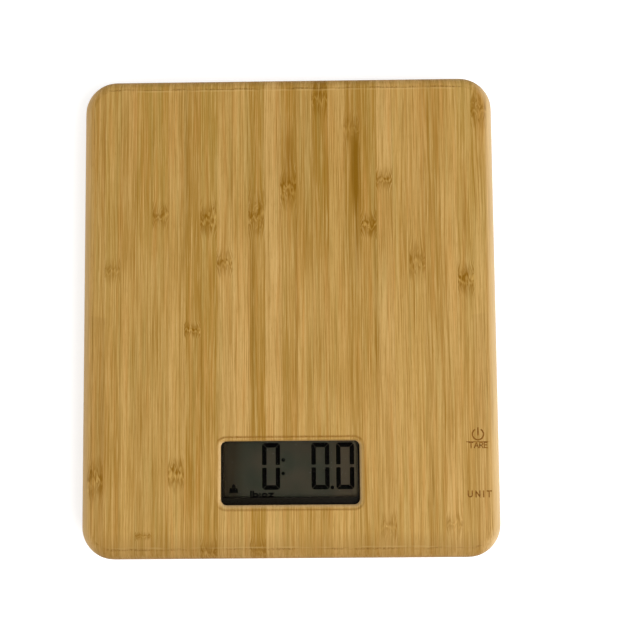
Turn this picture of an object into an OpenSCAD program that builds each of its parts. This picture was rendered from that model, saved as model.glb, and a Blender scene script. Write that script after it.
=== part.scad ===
// Bamboo kitchen scale: a routed bamboo platform that carries the display, the touch
// keys and the electronics, and stands on four sprung feet, each under its own load cell.
// X runs to the user's right, Y away from the user, Z up. The origin is on the surface
// that the feet stand on, under the middle of the platform. Sizes are in millimetres.

/* [Platform board] */
// Width of the board, left to right
board_w = 172; // [168:1:190]
// Depth of the board, front to back
board_d = 200; // [190:1:230]
// Thickness of the board
board_t = 13; // [12.5:0.5:16]
// Radius of the board's four corners, seen from above
corner_r = 13.5; // [12:0.5:20]
// Radius of the rounded top edge
edge_r = 4.8; // [2:0.1:5.4]
// Height of the small step where each rounded edge starts
edge_step = 0.15; // [0.05:0.05:0.3]
// Size of the bevel along the bottom edge
bottom_bevel = 0.8; // [0.3:0.1:1.5]
// Bamboo left above the routed bays
roof_t = 4; // [3.6:0.1:5]
// Radius of the router bit that cuts the bays
router_r = 3; // [1.5:0.5:3.5]
// Free space around the pieces in a bay
bay_gap = 1; // [0.6:0.1:1.2]

/* [Window] */
// Width of the display window
window_w = 57; // [50:0.5:60]
// Depth of the display window, front to back
window_d = 26; // [25:0.5:30]
// Distance from the board's front edge to the middle of the window
window_front = 35; // [33:0.1:36]
// Corner radius of the window
window_r = 2.4; // [1.1:0.1:3]
// Radius of the window's rounded top edge
window_edge_r = 1.8; // [0.6:0.1:1.9]
// Depth of the lens below the top of the board
lens_depth = 2.1; // [2.1:0.1:2.4]

/* [Display] */
// How far the lens reaches under the bamboo on each side
lens_lip = 2; // [1:0.1:2.5]
// Thickness of the lens
lens_t = 1; // [0.6:0.1:1.2]
// Free play of the lens and the mask in their rebate
lens_fit = 0.2; // [0.1:0.05:0.4]
// Width of the clear opening in the black mask
mask_w = 55.6; // [46:0.1:56.5]
// Depth of the clear opening in the black mask
mask_d = 23.2; // [20:0.2:24]
// How far the mask's opening sits to the right of the window's middle
mask_right = 0; // [-1:0.1:1.5]
// How far the mask's opening sits behind the window's middle
mask_back = 1.3; // [-1:0.1:1.6]
// Width of the display glass
glass_w = 62; // [60:0.5:64]
// Depth of the display glass
glass_d = 33; // [31:0.5:34]
// Thickness of each of the two display glasses
glass_t = 1.1; // [0.7:0.1:1.1]
// Width of the contact ledge at the front and back of the upper glass
contact_ledge = 3; // [2.5:0.1:4]
// Thickness of the reflector behind the lower glass
reflector_t = 0.3; // [0.1:0.1:0.5]
// Free space between the reflector and the circuit board
reflector_gap = 1; // [0.6:0.1:1.1]
// Thickness of the frame's walls around the display glass
frame_wall = 3.5; // [3.2:0.1:4]
// Free play of the glass in the frame
glass_fit = 0.5; // [0.2:0.1:0.6]
// Thickness of the frame's face above the glass
frame_face_t = 0.4; // [0.3:0.1:0.6]
// Thickness of the adhesive foam gasket between frame and board
gasket_t = 0.5; // [0.3:0.1:0.6]

/* [Circuit boards] */
// Thickness of the circuit boards
pcb_t = 1.2; // [0.8:0.1:1.2]
// Distance from a frame corner to the middle of its screw
pcb_screw_edge = 1.75; // [1.6:0.05:1.8]
// Shaft radius of the circuit board screws
pcb_screw_r = 0.7; // [0.5:0.05:0.75]
// Shaft length of the circuit board screws
pcb_screw_l = 4; // [3:0.5:4.5]

/* [Touch keys] */
// Distance from the board's right edge to the middle of the touch springs
key_inset = 10.5; // [10:0.5:11]
// Distance from the front edge to the tare key
tare_front = 48; // [46:0.5:50]
// Distance from the front edge to the unit key
unit_front = 25.5; // [24:0.5:27]
// Bamboo left above each touch spring
key_roof_t = 2.5; // [1.5:0.1:3]
// Width of the touch circuit board
key_pcb_w = 8; // [7.5:0.1:8.2]
// Length of the touch circuit board beyond each key
key_pcb_end = 7; // [6.5:0.1:8]
// Radius of a touch spring at its foot
spring_foot_r = 2.4; // [2:0.1:2.6]
// Radius of a touch spring at its head
spring_head_r = 3.2; // [2.8:0.1:3.4]
// Radius of the spring wire
spring_wire_r = 0.3; // [0.2:0.05:0.35]
// Number of turns of a touch spring
spring_turns = 5; // [3:1:6]

/* [Base cover] */
// Thickness of the cover
cover_t = 1.8; // [1.6:0.1:2]
// Distance from the board's edge to the edge of the cover
cover_inset = 5; // [4:0.5:5]
// Gap between the cover and its rebate
cover_fit = 0.3; // [0.15:0.05:0.5]
// Distance from the side edges to the middle of the cover screws
cover_screw_x = 10; // [9.5:0.5:11]
// Distance from the front and back edges to the middle of the corner screws
cover_screw_y = 11; // [10:0.5:11]
// Distance from the front and back edges to the screws between the corners
mid_screw_y = 9; // [8.5:0.5:9.5]
// Shaft radius of the cover screws
cover_screw_r = 1.1; // [0.9:0.05:1.3]
// Head radius of the cover screws
cover_head_r = 2.1; // [1.8:0.1:2.4]
// Length of the cover screws
cover_screw_l = 8; // [6:0.5:9]
// Gap between the battery door's opening and the rating label
label_gap = 15; // [4:1:20]
// Gap between the rating label and the screw behind it
label_screw_gap = 20; // [4:1:24]
// Width of the blank rating label
label_w = 62; // [40:1:80]
// Depth of the blank rating label
label_d = 30; // [20:1:34]
// Thickness of the label
label_t = 0.15; // [0.1:0.05:0.2]
// Depth of the recess that the label lies in
label_recess = 0.2; // [0.2:0.05:0.4]

/* [Battery] */
// Radius of the coin cell
coin_r = 10; // [9.5:0.25:11]
// Thickness of the coin cell
coin_t = 3.2; // [2.5:0.1:3.4]
// Distance from the board's front edge to the middle of the coin cell
coin_front = 78; // [77:0.5:84]
// Gap between the coin cell and its tub
coin_fit = 0.4; // [0.4:0.05:0.6]
// Wall thickness of the battery tub
tub_wall = 1.4; // [1:0.1:1.8]
// Free height above the coin cell, filled by the spring contact
contact_h = 0.8; // [0.6:0.1:1]
// Sheet thickness of the battery contacts
contact_t = 0.3; // [0.2:0.05:0.3]
// Width of the battery door
door_w = 30; // [28:0.5:32]
// Depth of the battery door
door_d = 33; // [32:0.5:33]
// Thickness of the battery door
door_t = 1.5; // [1.2:0.1:1.7]
// Gap around the battery door
door_gap = 0.2; // [0.15:0.05:0.3]
// Height of the ribs on the door that press on the coin cell
door_rib_h = 0.8; // [0.6:0.1:1]
// Radius of the door's round hinge edge
hinge_r = 1.2; // [1.1:0.05:1.3]
// Radius of the door's hinge pins
hinge_pin_r = 0.8; // [0.6:0.05:0.85]
// Length of each hinge pin
hinge_pin_l = 1.8; // [1.2:0.1:2]

/* [Feet] */
// Height of the board's underside above the table
foot_stand = 3.5; // [3:0.1:5]
// Distance from the side edges to the middle of the feet
foot_inset_x = 29; // [28.5:0.5:30]
// Distance from the front and back edges to the middle of the feet
foot_inset_y = 22; // [21:0.5:22]
// Radius of the foot
foot_r = 10; // [8:0.5:10]
// How far the foot's collar stands out beyond the foot
foot_lip = 1.2; // [0.8:0.1:1.3]
// Height of the foot's collar
foot_lip_h = 1; // [0.6:0.1:1.2]
// Gap between the foot and its hole in the cover
foot_fit = 0.3; // [0.2:0.05:0.4]
// How far the foot can drop before its collar meets the cover
foot_drop = 0.3; // [0.2:0.05:0.4]
// Radius of the foot's boss under the load cell
boss_r = 3.4; // [2.5:0.1:4]
// Width of the foot's rim around the rubber pad
pad_rim = 1.6; // [1:0.1:2.5]
// Thickness of the rubber pad
pad_t = 1.6; // [1.2:0.1:2]
// How deep the rubber pad sits in the foot
pad_sunk = 0.8; // [0.4:0.1:1]

/* [Load cells] */
// Side of the square load cell
cell_w = 24; // [22:0.5:24]
// Thickness of the load cell
cell_t = 1.5; // [1:0.1:1.6]
// Width of the load cell's outer frame
cell_band = 4; // [3.6:0.1:4.2]
// Width of the load cell's tongue
tongue_w = 7; // [5:0.5:8]
// Radius of the tongue's round head
tongue_head_r = 5; // [4:0.25:5.5]
// Height of the holder between the load cell and the board
holder_h = 2.6; // [2.2:0.1:3]
// Height of the free space for the tongue inside the holder
holder_recess = 1.5; // [1.2:0.1:1.8]
// Wall of the holder around the load cell
holder_wall = 0.9; // [0.7:0.1:1]
// Gap between the load cell and the holder's wall
holder_fit = 0.1; // [0.05:0.05:0.2]
// Shaft radius of the load cell screws
cell_screw_r = 0.85; // [0.7:0.05:0.9]
// Shaft length of the load cell screws
cell_screw_l = 6; // [5:0.5:7]

/* [Wiring] */
// Radius of a load cell wire
wire_r = 0.35; // [0.25:0.05:0.4]
// Spacing of the three wires of a load cell
wire_pitch = 0.9; // [0.85:0.05:1]
// Width of the wire channels
channel_w = 8; // [6:0.5:8]
// Width of the channel to the circuit board
link_w = 17; // [16:0.5:18]
// Radius of a battery lead
lead_r = 0.6; // [0.4:0.05:0.6]
// Radius of a conductor in the ribbon cable
ribbon_r = 0.6; // [0.45:0.05:0.6]
// Number of conductors in the ribbon cable
ribbon_n = 4; // [3:1:4]

/* [Hidden] */
$fn = 64;
CORNERS = ["front_left", "front_right", "rear_left", "rear_right"];

// Small clearances and overshoots shared by every piece
running_fit = 0.05;
cut = 1;

// Heights of the shared levels
under_z = foot_stand;
inner_z = under_z + cover_t;
top_z = under_z + board_t;
roof_z = top_z - roof_t;

// Places of the feet, the window and the touch keys
foot_x = board_w / 2 - foot_inset_x;
foot_y = board_d / 2 - foot_inset_y;
window_y = window_front - board_d / 2;
key_x = board_w / 2 - key_inset;
tare_y = tare_front - board_d / 2;
unit_y = unit_front - board_d / 2;

// Display stack, from the lens down to the circuit board
lens_w = window_w + 2 * lens_lip;
lens_d = window_d + 2 * lens_lip;
lens_r = window_r + lens_lip;
lens_top = top_z - lens_depth;
lens_bottom = lens_top - lens_t;
frame_top = roof_z - gasket_t;
glass_top = frame_top - frame_face_t;
rear_glass_top = glass_top - glass_t;
reflector_top = rear_glass_top - glass_t;
pcb_top = reflector_top - reflector_t - reflector_gap;
pcb_z = pcb_top - pcb_t;
frame_w = glass_w + 2 * (frame_wall + glass_fit);
frame_d = glass_d + 2 * (frame_wall + glass_fit);
frame_r = 1.5;
rear_glass_d = glass_d - 2 * contact_ledge;
reflector_margin = 1;
strip_w = 2;
strip_end = 3;

// Parts on the underside of the circuit board, placed from its middle
chip_gap = 0.4;
blob_r = 4.5;
blob_at = [-12, -1];
chip_w = 10;
chip_d = 4;
chip_at = [11, 4];
chip_legs = 8;
chip_leg_w = 0.5;
chip_leg_l = 1;
crystal_w = 6;
crystal_d = 2.2;
crystal_at = [10, -7];
resistor_w = 2;
resistor_d = 1.2;
resistor_h = 0.8;
resistor_pitch = 4;
left_row_at = [-24, -14];
right_row_at = [4, -14];
column_at = [-2, 3];

// Circuit board screws
pcb_head_r = 2 * pcb_screw_r;
pcb_head_h = 0.9;
pcb_screw_x = frame_w / 2 - pcb_screw_edge;
pcb_screw_y = frame_d / 2 - pcb_screw_edge;

// Touch circuit board, on two posts of the cover
key_mid_y = (tare_y + unit_y) / 2;
key_pcb_d = tare_y - unit_y + 2 * key_pcb_end;
key_bay_w = key_pcb_w + 2 * bay_gap;
key_bay_d = key_pcb_d + 2 * bay_gap;
key_bore_r = spring_head_r + bay_gap;
key_roof_z = top_z - key_roof_t;
ribbon_lap = 3;
post_r = 1.5;
post_pin_r = 0.6;
post_pin_h = 0.8;
post_end = 2.2;
post_y = key_pcb_d / 2 - post_end;

// Wiring levels and lanes
cell_z = roof_z - holder_h - cell_t;
cell_top = cell_z + cell_t;
wire_z = cell_top + wire_r + running_fit;
channel_z = wire_z + wire_r;
link_from_window = 9.5;
link_y = window_y + link_from_window;
lane_y = 5.2;
wire_end = 4;
wire_end_x = frame_w / 2 - wire_end;
wire_flat_from_frame = 2;
wire_drop_from_frame = 10;
wire_flat_x = frame_w / 2 + wire_flat_from_frame;
wire_drop_x = frame_w / 2 + wire_drop_from_frame;
wire_bend_r = 3;
lead_tail = 2.5;
lead_end = 4;
lead_bend_r = 1.2;
tape_t = 0.2;
tape_l = 6;
tape_y = [for (share = [0.42, 0, -0.42]) share * foot_y];

// Load cells and their holders
holder_w = cell_w + 2 * (holder_wall + holder_fit);
foot_bay_w = holder_w + 2 * bay_gap;
cell_open = cell_w - 2 * cell_band;
holder_z = cell_top;
holder_skirt = cell_t - 0.2;
holder_corner_r = 1;
gauge_w = 4;
gauge_d = 3;
gauge_h = 0.5;
gauge_y = cell_open / 2 - gauge_d;
wire_slot_w = 4;
wire_slot_h = 1.2;
cell_screw_at = cell_w / 2 - cell_band / 2;
cell_head_r = 1.8;
cell_head_h = 1.1;

// Feet
foot_z = pad_t - pad_sunk;
pad_r = foot_r - pad_rim;
foot_lip_z = inner_z + foot_drop;
foot_hole_r = foot_r + foot_fit;
ring_t = 1.2;
ring_h = 1.5;
ring_r = foot_r + foot_lip + foot_fit;

// Cover and its screws
cover_w = board_w - 2 * cover_inset;
cover_d = board_d - 2 * cover_inset;
cover_r = corner_r - cover_inset;
cover_head_h = 1;
screw_x = board_w / 2 - cover_screw_x;
screw_y = board_d / 2 - cover_screw_y;
mid_y = board_d / 2 - mid_screw_y;
coin_y = coin_front - board_d / 2;
opening_w = door_w + 2 * door_gap;
opening_d = door_d + 2 * door_gap;
label_y = coin_y + (opening_d + label_d) / 2 + label_gap;
cover_screw_at = [
    [-screw_x, -screw_y], [screw_x, -screw_y], [-screw_x, screw_y], [screw_x, screw_y],
    [-screw_x, 0], [screw_x, 0], [0, -mid_y], [0, mid_y],
    [0, label_y + label_d / 2 + label_screw_gap]
];
label_r = 2;

// Battery tub, contacts and door
hinge_z = under_z + hinge_r;
door_r = 2;
ledge_z = under_z + door_t + 0.1;
ledge_top = inner_z + 1;
coin_z = under_z + door_t + door_rib_h + 0.1;
coin_top = coin_z + coin_t;
tub_r = coin_r + coin_fit;
tub_roof = coin_top + contact_h;
tub_roof_t = 1;
pan_wall = hinge_pin_l + 0.4;
pan_w = opening_w + 2 * pan_wall;
pan_d = opening_d + 2 * pan_wall;
hinge_y = coin_y + door_d / 2 - hinge_r;
tail_x = 5;
tail_w = 3;
tail_out = 2.7;
tail_end = tub_r + tub_wall + tail_out;
can_step = 0.3;
rim_w = 1.2;
lead_drop_y = window_y + frame_d / 2;
rib_w = 12;
rib_t = 1.2;
bump_r = 0.15;
bump_w = 4;
notch_r = 6;
notch_t = 0.7;

// ---- Shared shapes ----

// Rounded rectangle with true arcs, centred
module rounded_rect(w, d, r) {
    square([w - 2 * r, d], center = true);
    square([w, d - 2 * r], center = true);
    for (x = [-1, 1], y = [-1, 1])
        translate([x * (w / 2 - r), y * (d / 2 - r)])
            circle(r);
}

// Plate with rounded corners, centred in plan, standing on z = 0
module plate(w, d, r, h) {
    linear_extrude(h) rounded_rect(w, d, r);
}

// Sweeps the child's profile around a rounded rectangle. The profile's x points
// outwards from the outline and its y points up.
module around(w, d, r) {
    for (turn = [0:90:270]) {
        reach = (turn % 180 == 0 ? w : d) / 2;
        side = (turn % 180 == 0 ? d : w) - 2 * r;
        rotate(turn) {
            translate([reach, 0, 0])
                rotate([90, 0, 0])
                    linear_extrude(side, center = true) children();
            translate([reach - r, side / 2, 0])
                rotate_extrude(angle = 90)
                    translate([r, 0]) children();
        }
    }
}

// Puts the child at one corner: side is -1 for left and 1 for right, end is -1 for
// front and 1 for rear. The child is drawn for its own origin with +Y to the middle.
module at_foot(side, end) {
    translate([side * foot_x, end * foot_y, 0])
        mirror([0, end > 0 ? 1 : 0, 0]) children();
}

// Places the child at all four feet
module at_each_foot() {
    for (side = [-1, 1], end = [-1, 1])
        at_foot(side, end) children();
}

function unit(v) = v / norm(v);

// Points of the arc that rounds the corner at b between a and c
function corner_arc(a, b, c, r, steps = 5) =
    let (
        back = unit(a - b),
        ahead = unit(c - b),
        half = acos(back * ahead) / 2,
        centre = b + unit(back + ahead) * r / sin(half),
        from = b + back * r / tan(half) - centre,
        to = b + ahead * r / tan(half) - centre
    )
    [for (i = [0:steps]) centre + r * unit(from * (1 - i / steps) + to * i / steps)];

// The route through some points, with its corners rounded
function rounded_route(points, r) = concat(
    [points[0]],
    [for (i = [1:len(points) - 2]) each corner_arc(points[i - 1], points[i], points[i + 1], r)],
    [points[len(points) - 1]]
);

// One ring of a tube: its points stand around p, square to the way ahead
function tube_ring(p, ahead, r, sides) =
    let (across = unit(cross(ahead, [0, 0, 1])), up = cross(across, ahead))
    [for (k = [0:sides - 1]) p + r * (cos(360 * k / sides) * across + sin(360 * k / sides) * up)];

// Direction of a route at one of its points
function heading(points, i) =
    let (n = len(points) - 1)
    i == 0 ? unit(points[1] - points[0])
    : i == n ? unit(points[n] - points[n - 1])
    : unit(unit(points[i] - points[i - 1]) + unit(points[i + 1] - points[i]));

// Round wire along a route that never runs straight up
module wire(points, r, sides = 8) {
    last = len(points) - 1;
    rings = [for (i = [0:last]) each tube_ring(points[i], heading(points, i), r, sides)];
    walls = [
        for (i = [0:last - 1], k = [0:sides - 1])
            let (a = i * sides + k, b = i * sides + (k + 1) % sides)
            [a, a + sides, b + sides, b]
    ];
    ends = [[for (k = [0:sides - 1]) k], [for (k = [sides - 1:-1:0]) last * sides + k]];
    polyhedron(points = rings, faces = concat(ends, walls), convexity = 4);
}

// Screw with its head at z = 0, pointing up: a flat or a countersunk head, with a cross
module screw(r, length, head_r, head_h, countersunk = false) {
    slot_w = head_r / 3;
    difference() {
        union() {
            cylinder(r1 = head_r, r2 = countersunk ? r : head_r, h = head_h);
            cylinder(r = r, h = length);
        }
        for (turn = [0, 90])
            rotate(turn)
                translate([-0.7 * head_r, -slot_w / 2, -cut])
                    cube([1.4 * head_r, slot_w, cut + head_h / 2]);
    }
}

// ---- Platform board ----

// Cuts the board's rounded top edge, with the small step that the router leaves
module top_edge_cutter() {
    around(board_w, board_d, corner_r)
        translate([-edge_r, top_z - edge_step - edge_r])
            difference() {
                square([edge_r + cut, edge_r + edge_step + cut]);
                circle(edge_r);
            }
}

module bottom_edge_cutter() {
    around(board_w, board_d, corner_r)
        translate([0, under_z])
            polygon([
                [-bottom_bevel, 0], [-bottom_bevel, -cut], [cut, -cut],
                [cut, bottom_bevel], [0, bottom_bevel]
            ]);
}

// Window through the roof, its rounded edge and the rebate for the lens below
module window_cutter() {
    round_z = top_z - edge_step - window_edge_r;
    translate([0, window_y, 0]) {
        translate([0, 0, roof_z - cut])
            plate(window_w, window_d, window_r, board_t);
        around(window_w, window_d, window_r)
            difference() {
                translate([-cut, round_z])
                    square([window_edge_r + cut, window_edge_r + edge_step + cut]);
                translate([window_edge_r, round_z]) circle(window_edge_r);
            }
        translate([0, 0, roof_z - cut])
            plate(lens_w + 2 * lens_fit, lens_d + 2 * lens_fit, lens_r, lens_top - roof_z + cut);
    }
}

// A bay routed from below, up to a given height
module bay(x, y, w, d, to_z) {
    translate([x, y, under_z - cut])
        plate(w, d, router_r, to_z - under_z + cut);
}

module bays() {
    bay(0, window_y, frame_w + 2 * bay_gap, frame_d + 2 * bay_gap, roof_z);
    bay(0, coin_y, pan_w + 2 * bay_gap, pan_d + 2 * bay_gap, ledge_top + bay_gap);
    translate([0, coin_y, under_z])
        cylinder(r = tub_r + tub_wall + bay_gap, h = tub_roof + tub_roof_t + bay_gap - under_z);
    bay(key_x, key_mid_y, key_bay_w, key_bay_d, channel_z);
    for (y = [tare_y, unit_y])
        translate([key_x, y, under_z]) cylinder(r = key_bore_r, h = key_roof_z - under_z);
    for (side = [-1, 1]) {
        for (end = [-1, 1])
            bay(side * foot_x, end * foot_y, foot_bay_w, foot_bay_w, roof_z);
        translate([side * foot_x - channel_w / 2, -foot_y, under_z])
            cube([channel_w, 2 * foot_y, channel_z - under_z]);
    }
    // Channel from the display bay to both wire channels, and on to the touch keys
    translate([-foot_x - channel_w / 2, link_y - link_w / 2, under_z])
        cube([foot_x + channel_w / 2 + key_x, link_w, channel_z - under_z]);
    // Passage for the battery leads
    translate([-tail_x - channel_w / 2, window_y, under_z])
        cube([2 * tail_x + channel_w, coin_y - window_y, channel_z - under_z]);
}

module screw_pilots() {
    for (at = cover_screw_at)
        translate([at.x, at.y, under_z])
            cylinder(r = cover_screw_r + running_fit, h = cover_screw_l + cut);
    at_each_foot()
        for (s = [-1, 1])
            translate([s * cell_screw_at, -s * cell_screw_at, cell_z])
                cylinder(r = cell_screw_r + running_fit, h = cell_screw_l + running_fit);
}

module platform_board() {
    color("burlywood")
        difference() {
            translate([0, 0, under_z]) plate(board_w, board_d, corner_r, board_t);
            top_edge_cutter();
            bottom_edge_cutter();
            window_cutter();
            translate([0, 0, under_z - cut])
                plate(cover_w, cover_d, cover_r, cover_t + cut);
            bays();
            screw_pilots();
        }
}

// ---- Display ----

module display_lens() {
    color("lightgray", 0.4)
        translate([0, window_y, lens_bottom]) plate(lens_w, lens_d, lens_r, lens_t);
}

module display_gasket() {
    color("dimgray")
        translate([0, window_y, frame_top])
            difference() {
                plate(frame_w, frame_d, frame_r, gasket_t);
                translate([0, 0, -cut])
                    plate(lens_w + 2 * lens_fit, lens_d + 2 * lens_fit, lens_r, gasket_t + 2 * cut);
            }
}

// Black frame: walls around the glass, a face above it, and a mask that fills the lens rebate
module display_frame() {
    color("black")
        translate([0, window_y, 0])
            difference() {
                union() {
                    translate([0, 0, pcb_top])
                        plate(frame_w, frame_d, frame_r, frame_top - pcb_top);
                    translate([0, 0, glass_top])
                        plate(lens_w, lens_d, lens_r, lens_bottom - glass_top);
                }
                translate([0, 0, pcb_top - cut])
                    plate(
                        glass_w + 2 * glass_fit, glass_d + 2 * glass_fit, glass_fit,
                        glass_top - pcb_top + cut
                    );
                translate([mask_right, mask_back, pcb_top])
                    plate(mask_w, mask_d, window_r / 2, top_z - pcb_top);
                for (x = [-1, 1], y = [-1, 1])
                    translate([x * pcb_screw_x, y * pcb_screw_y, pcb_top - cut])
                        cylinder(r = pcb_screw_r + running_fit, h = pcb_screw_l - pcb_t + cut);
            }
}

module lcd_front_glass() {
    color("darkslategray")
        translate([-glass_w / 2, window_y - glass_d / 2, rear_glass_top])
            cube([glass_w, glass_d, glass_t]);
}

module lcd_rear_glass() {
    color("slategray")
        translate([-glass_w / 2, window_y - rear_glass_d / 2, reflector_top])
            cube([glass_w, rear_glass_d, glass_t]);
}

module lcd_reflector() {
    color("silver")
        translate([
            reflector_margin - glass_w / 2, window_y - rear_glass_d / 2 + reflector_margin,
            reflector_top - reflector_t
        ])
            cube([glass_w - 2 * reflector_margin, rear_glass_d - 2 * reflector_margin, reflector_t]);
}

// Rubber contact strips between the circuit board and the ledges of the upper glass
module lcd_contact_strips() {
    color("hotpink")
        for (end = [-1, 1])
            translate([
                strip_end - glass_w / 2,
                window_y + end * (glass_d - contact_ledge) / 2 - strip_w / 2, pcb_top
            ])
                cube([glass_w - 2 * strip_end, strip_w, rear_glass_top - pcb_top]);
}

// ---- Circuit boards ----

module main_circuit_board() {
    color("darkgreen")
        translate([0, window_y, pcb_z])
            difference() {
                plate(frame_w, frame_d, frame_r, pcb_t);
                for (x = [-1, 1], y = [-1, 1])
                    translate([x * pcb_screw_x, y * pcb_screw_y, -cut])
                        cylinder(r = pcb_screw_r + 3 * running_fit, h = pcb_t + 2 * cut);
            }
}

// A part soldered to the underside of the circuit board, centred at x, y
module smd(at, w, d, h) {
    translate([at.x - w / 2, window_y + at.y - d / 2, pcb_z - h]) cube([w, d, h]);
}

// Chip in a plastic case, with a row of legs along each long side
module leg_chip(at, w, d, h, legs) {
    smd(at, w, d, h);
    for (i = [0:legs - 1], s = [-1, 1])
        smd(
            at + [(i - (legs - 1) / 2) * w / legs, s * (d + chip_leg_l) / 2],
            chip_leg_w, chip_leg_l, h / 2
        );
}

module board_components() {
    chip_h = pcb_z - inner_z - chip_gap;
    dome_r = (blob_r * blob_r + chip_h * chip_h) / (2 * chip_h);
    // Chip under a drop of black resin
    color("black")
        translate([blob_at.x, window_y + blob_at.y, pcb_z - chip_h])
            intersection() {
                translate([0, 0, dome_r]) sphere(dome_r);
                cylinder(r = blob_r + cut, h = chip_h);
            }
    color("black") leg_chip(chip_at, chip_w, chip_d, chip_h, chip_legs);
    color("silver") smd(crystal_at, crystal_w, crystal_d, chip_h);
    color("tan") {
        for (i = [0:4]) smd(left_row_at + [i * resistor_pitch, 0], resistor_w, resistor_d, resistor_h);
        for (i = [0:3]) smd(right_row_at + [i * resistor_pitch, 0], resistor_w, resistor_d, resistor_h);
        for (i = [0:2]) smd(column_at + [0, i * resistor_pitch], resistor_w, resistor_d, resistor_h);
    }
}

module circuit_board_screws() {
    color("silver")
        for (x = [-1, 1], y = [-1, 1])
            translate([x * pcb_screw_x, window_y + y * pcb_screw_y, pcb_z - pcb_head_h])
                screw(pcb_screw_r, pcb_screw_l + pcb_head_h, pcb_head_r, pcb_head_h);
}

// ---- Touch keys ----

module touch_circuit_board() {
    color("darkgreen")
        translate([key_x, key_mid_y, pcb_z])
            difference() {
                plate(key_pcb_w, key_pcb_d, frame_r, pcb_t);
                for (end = [-1, 1])
                    translate([0, end * post_y, -cut])
                        cylinder(r = post_pin_r + 2 * running_fit, h = pcb_t + 2 * cut);
            }
}

// Spring that carries the key's signal from the circuit board to the bamboo roof
module touch_spring(y) {
    per_turn = 16;
    steps = spring_turns * per_turn;
    foot_z = pcb_top + spring_wire_r;
    head_z = key_roof_z - spring_wire_r;
    color("goldenrod")
        wire(
            [
                for (i = [0:steps])
                    let (f = i / steps, a = 360 * i / per_turn)
                    let (r = spring_foot_r + f * (spring_head_r - spring_foot_r))
                    [key_x + r * cos(a), y + r * sin(a), foot_z + f * (head_z - foot_z)]
            ],
            spring_wire_r, 6
        );
}

module touch_ribbon_cable() {
    from_x = wire_end_x;
    to_x = key_x - key_pcb_w / 2 + ribbon_lap;
    color("lightgray")
        translate([from_x, link_y, pcb_z - ribbon_r])
            rotate([90, 0, 90])
                linear_extrude(to_x - from_x) {
                    for (i = [0:ribbon_n - 1])
                        translate([(i - (ribbon_n - 1) / 2) * 2 * ribbon_r, 0]) circle(ribbon_r);
                    square([2 * ribbon_r * (ribbon_n - 1), ribbon_r], center = true);
                }
}

// ---- Base cover, battery and door ----

module foot_openings() {
    at_each_foot()
        translate([0, 0, under_z - cut]) cylinder(r = foot_hole_r, h = cover_t + 2 * cut);
}

module foot_rings() {
    at_each_foot()
        translate([0, 0, inner_z])
            difference() {
                cylinder(r = ring_r + ring_t, h = ring_h);
                translate([0, 0, -cut]) cylinder(r = ring_r, h = ring_h + 2 * cut);
            }
}

// Posts that carry and locate the touch circuit board
module key_posts() {
    for (end = [-1, 1])
        translate([key_x, key_mid_y + end * post_y, inner_z]) {
            cylinder(r = post_r, h = pcb_z - inner_z);
            cylinder(r = post_pin_r, h = pcb_top - inner_z + post_pin_h);
        }
}

// Pan over the door's opening, with the round tub for the coin cell on it
module battery_tub() {
    translate([0, coin_y, ledge_z]) {
        plate(pan_w, pan_d, door_r, ledge_top - ledge_z);
        cylinder(r = tub_r + tub_wall, h = tub_roof + tub_roof_t - ledge_z);
    }
}

module battery_tub_hollow() {
    slot_w = tail_w + 4 * running_fit;
    translate([0, coin_y, ledge_z - cut])
        cylinder(r = tub_r, h = tub_roof - ledge_z + cut);
    for (side = [-1, 1])
        translate([side * tail_x - slot_w / 2, coin_y - tail_end, coin_top - can_step])
            cube([slot_w, tail_end, tub_roof - coin_top + can_step]);
    // Room for the door's hinge edge, and the bores for its pins
    translate([-opening_w / 2, hinge_y - hinge_r - 2 * door_gap, under_z - cut])
        cube([opening_w, 2 * hinge_r + 3 * door_gap, ledge_top - under_z + 2 * cut]);
    translate([0, hinge_y, hinge_z])
        rotate([0, 90, 0])
            cylinder(
                r = hinge_pin_r + running_fit, h = door_w + 2 * (hinge_pin_l + door_gap),
                center = true
            );
}

module base_cover() {
    color("whitesmoke")
        difference() {
            union() {
                difference() {
                    translate([0, 0, under_z])
                        plate(
                            cover_w - 2 * cover_fit, cover_d - 2 * cover_fit,
                            cover_r - cover_fit, cover_t
                        );
                    translate([0, coin_y, under_z - cut])
                        plate(opening_w, opening_d, door_r, cover_t + 2 * cut);
                }
                battery_tub();
                foot_rings();
                key_posts();
            }
            battery_tub_hollow();
            foot_openings();
            for (at = cover_screw_at)
                translate([at.x, at.y, under_z]) {
                    translate([0, 0, -cut])
                        cylinder(r = cover_screw_r + 4 * running_fit, h = cover_t + 2 * cut);
                    cylinder(
                        r1 = cover_head_r + running_fit, r2 = cover_screw_r + running_fit,
                        h = cover_head_h + running_fit
                    );
                }
            translate([0, label_y, under_z - cut])
                plate(label_w + 2 * cover_fit, label_d + 2 * cover_fit, label_r, label_recess + cut);
        }
}

module cover_screws() {
    color("silver")
        for (at = cover_screw_at)
            translate([at.x, at.y, under_z])
                screw(cover_screw_r, cover_screw_l, cover_head_r, cover_head_h, true);
}

module rating_label() {
    color("silver")
        translate([0, label_y, under_z + label_recess - label_t])
            plate(label_w, label_d, label_r - cover_fit, label_t);
}

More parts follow.
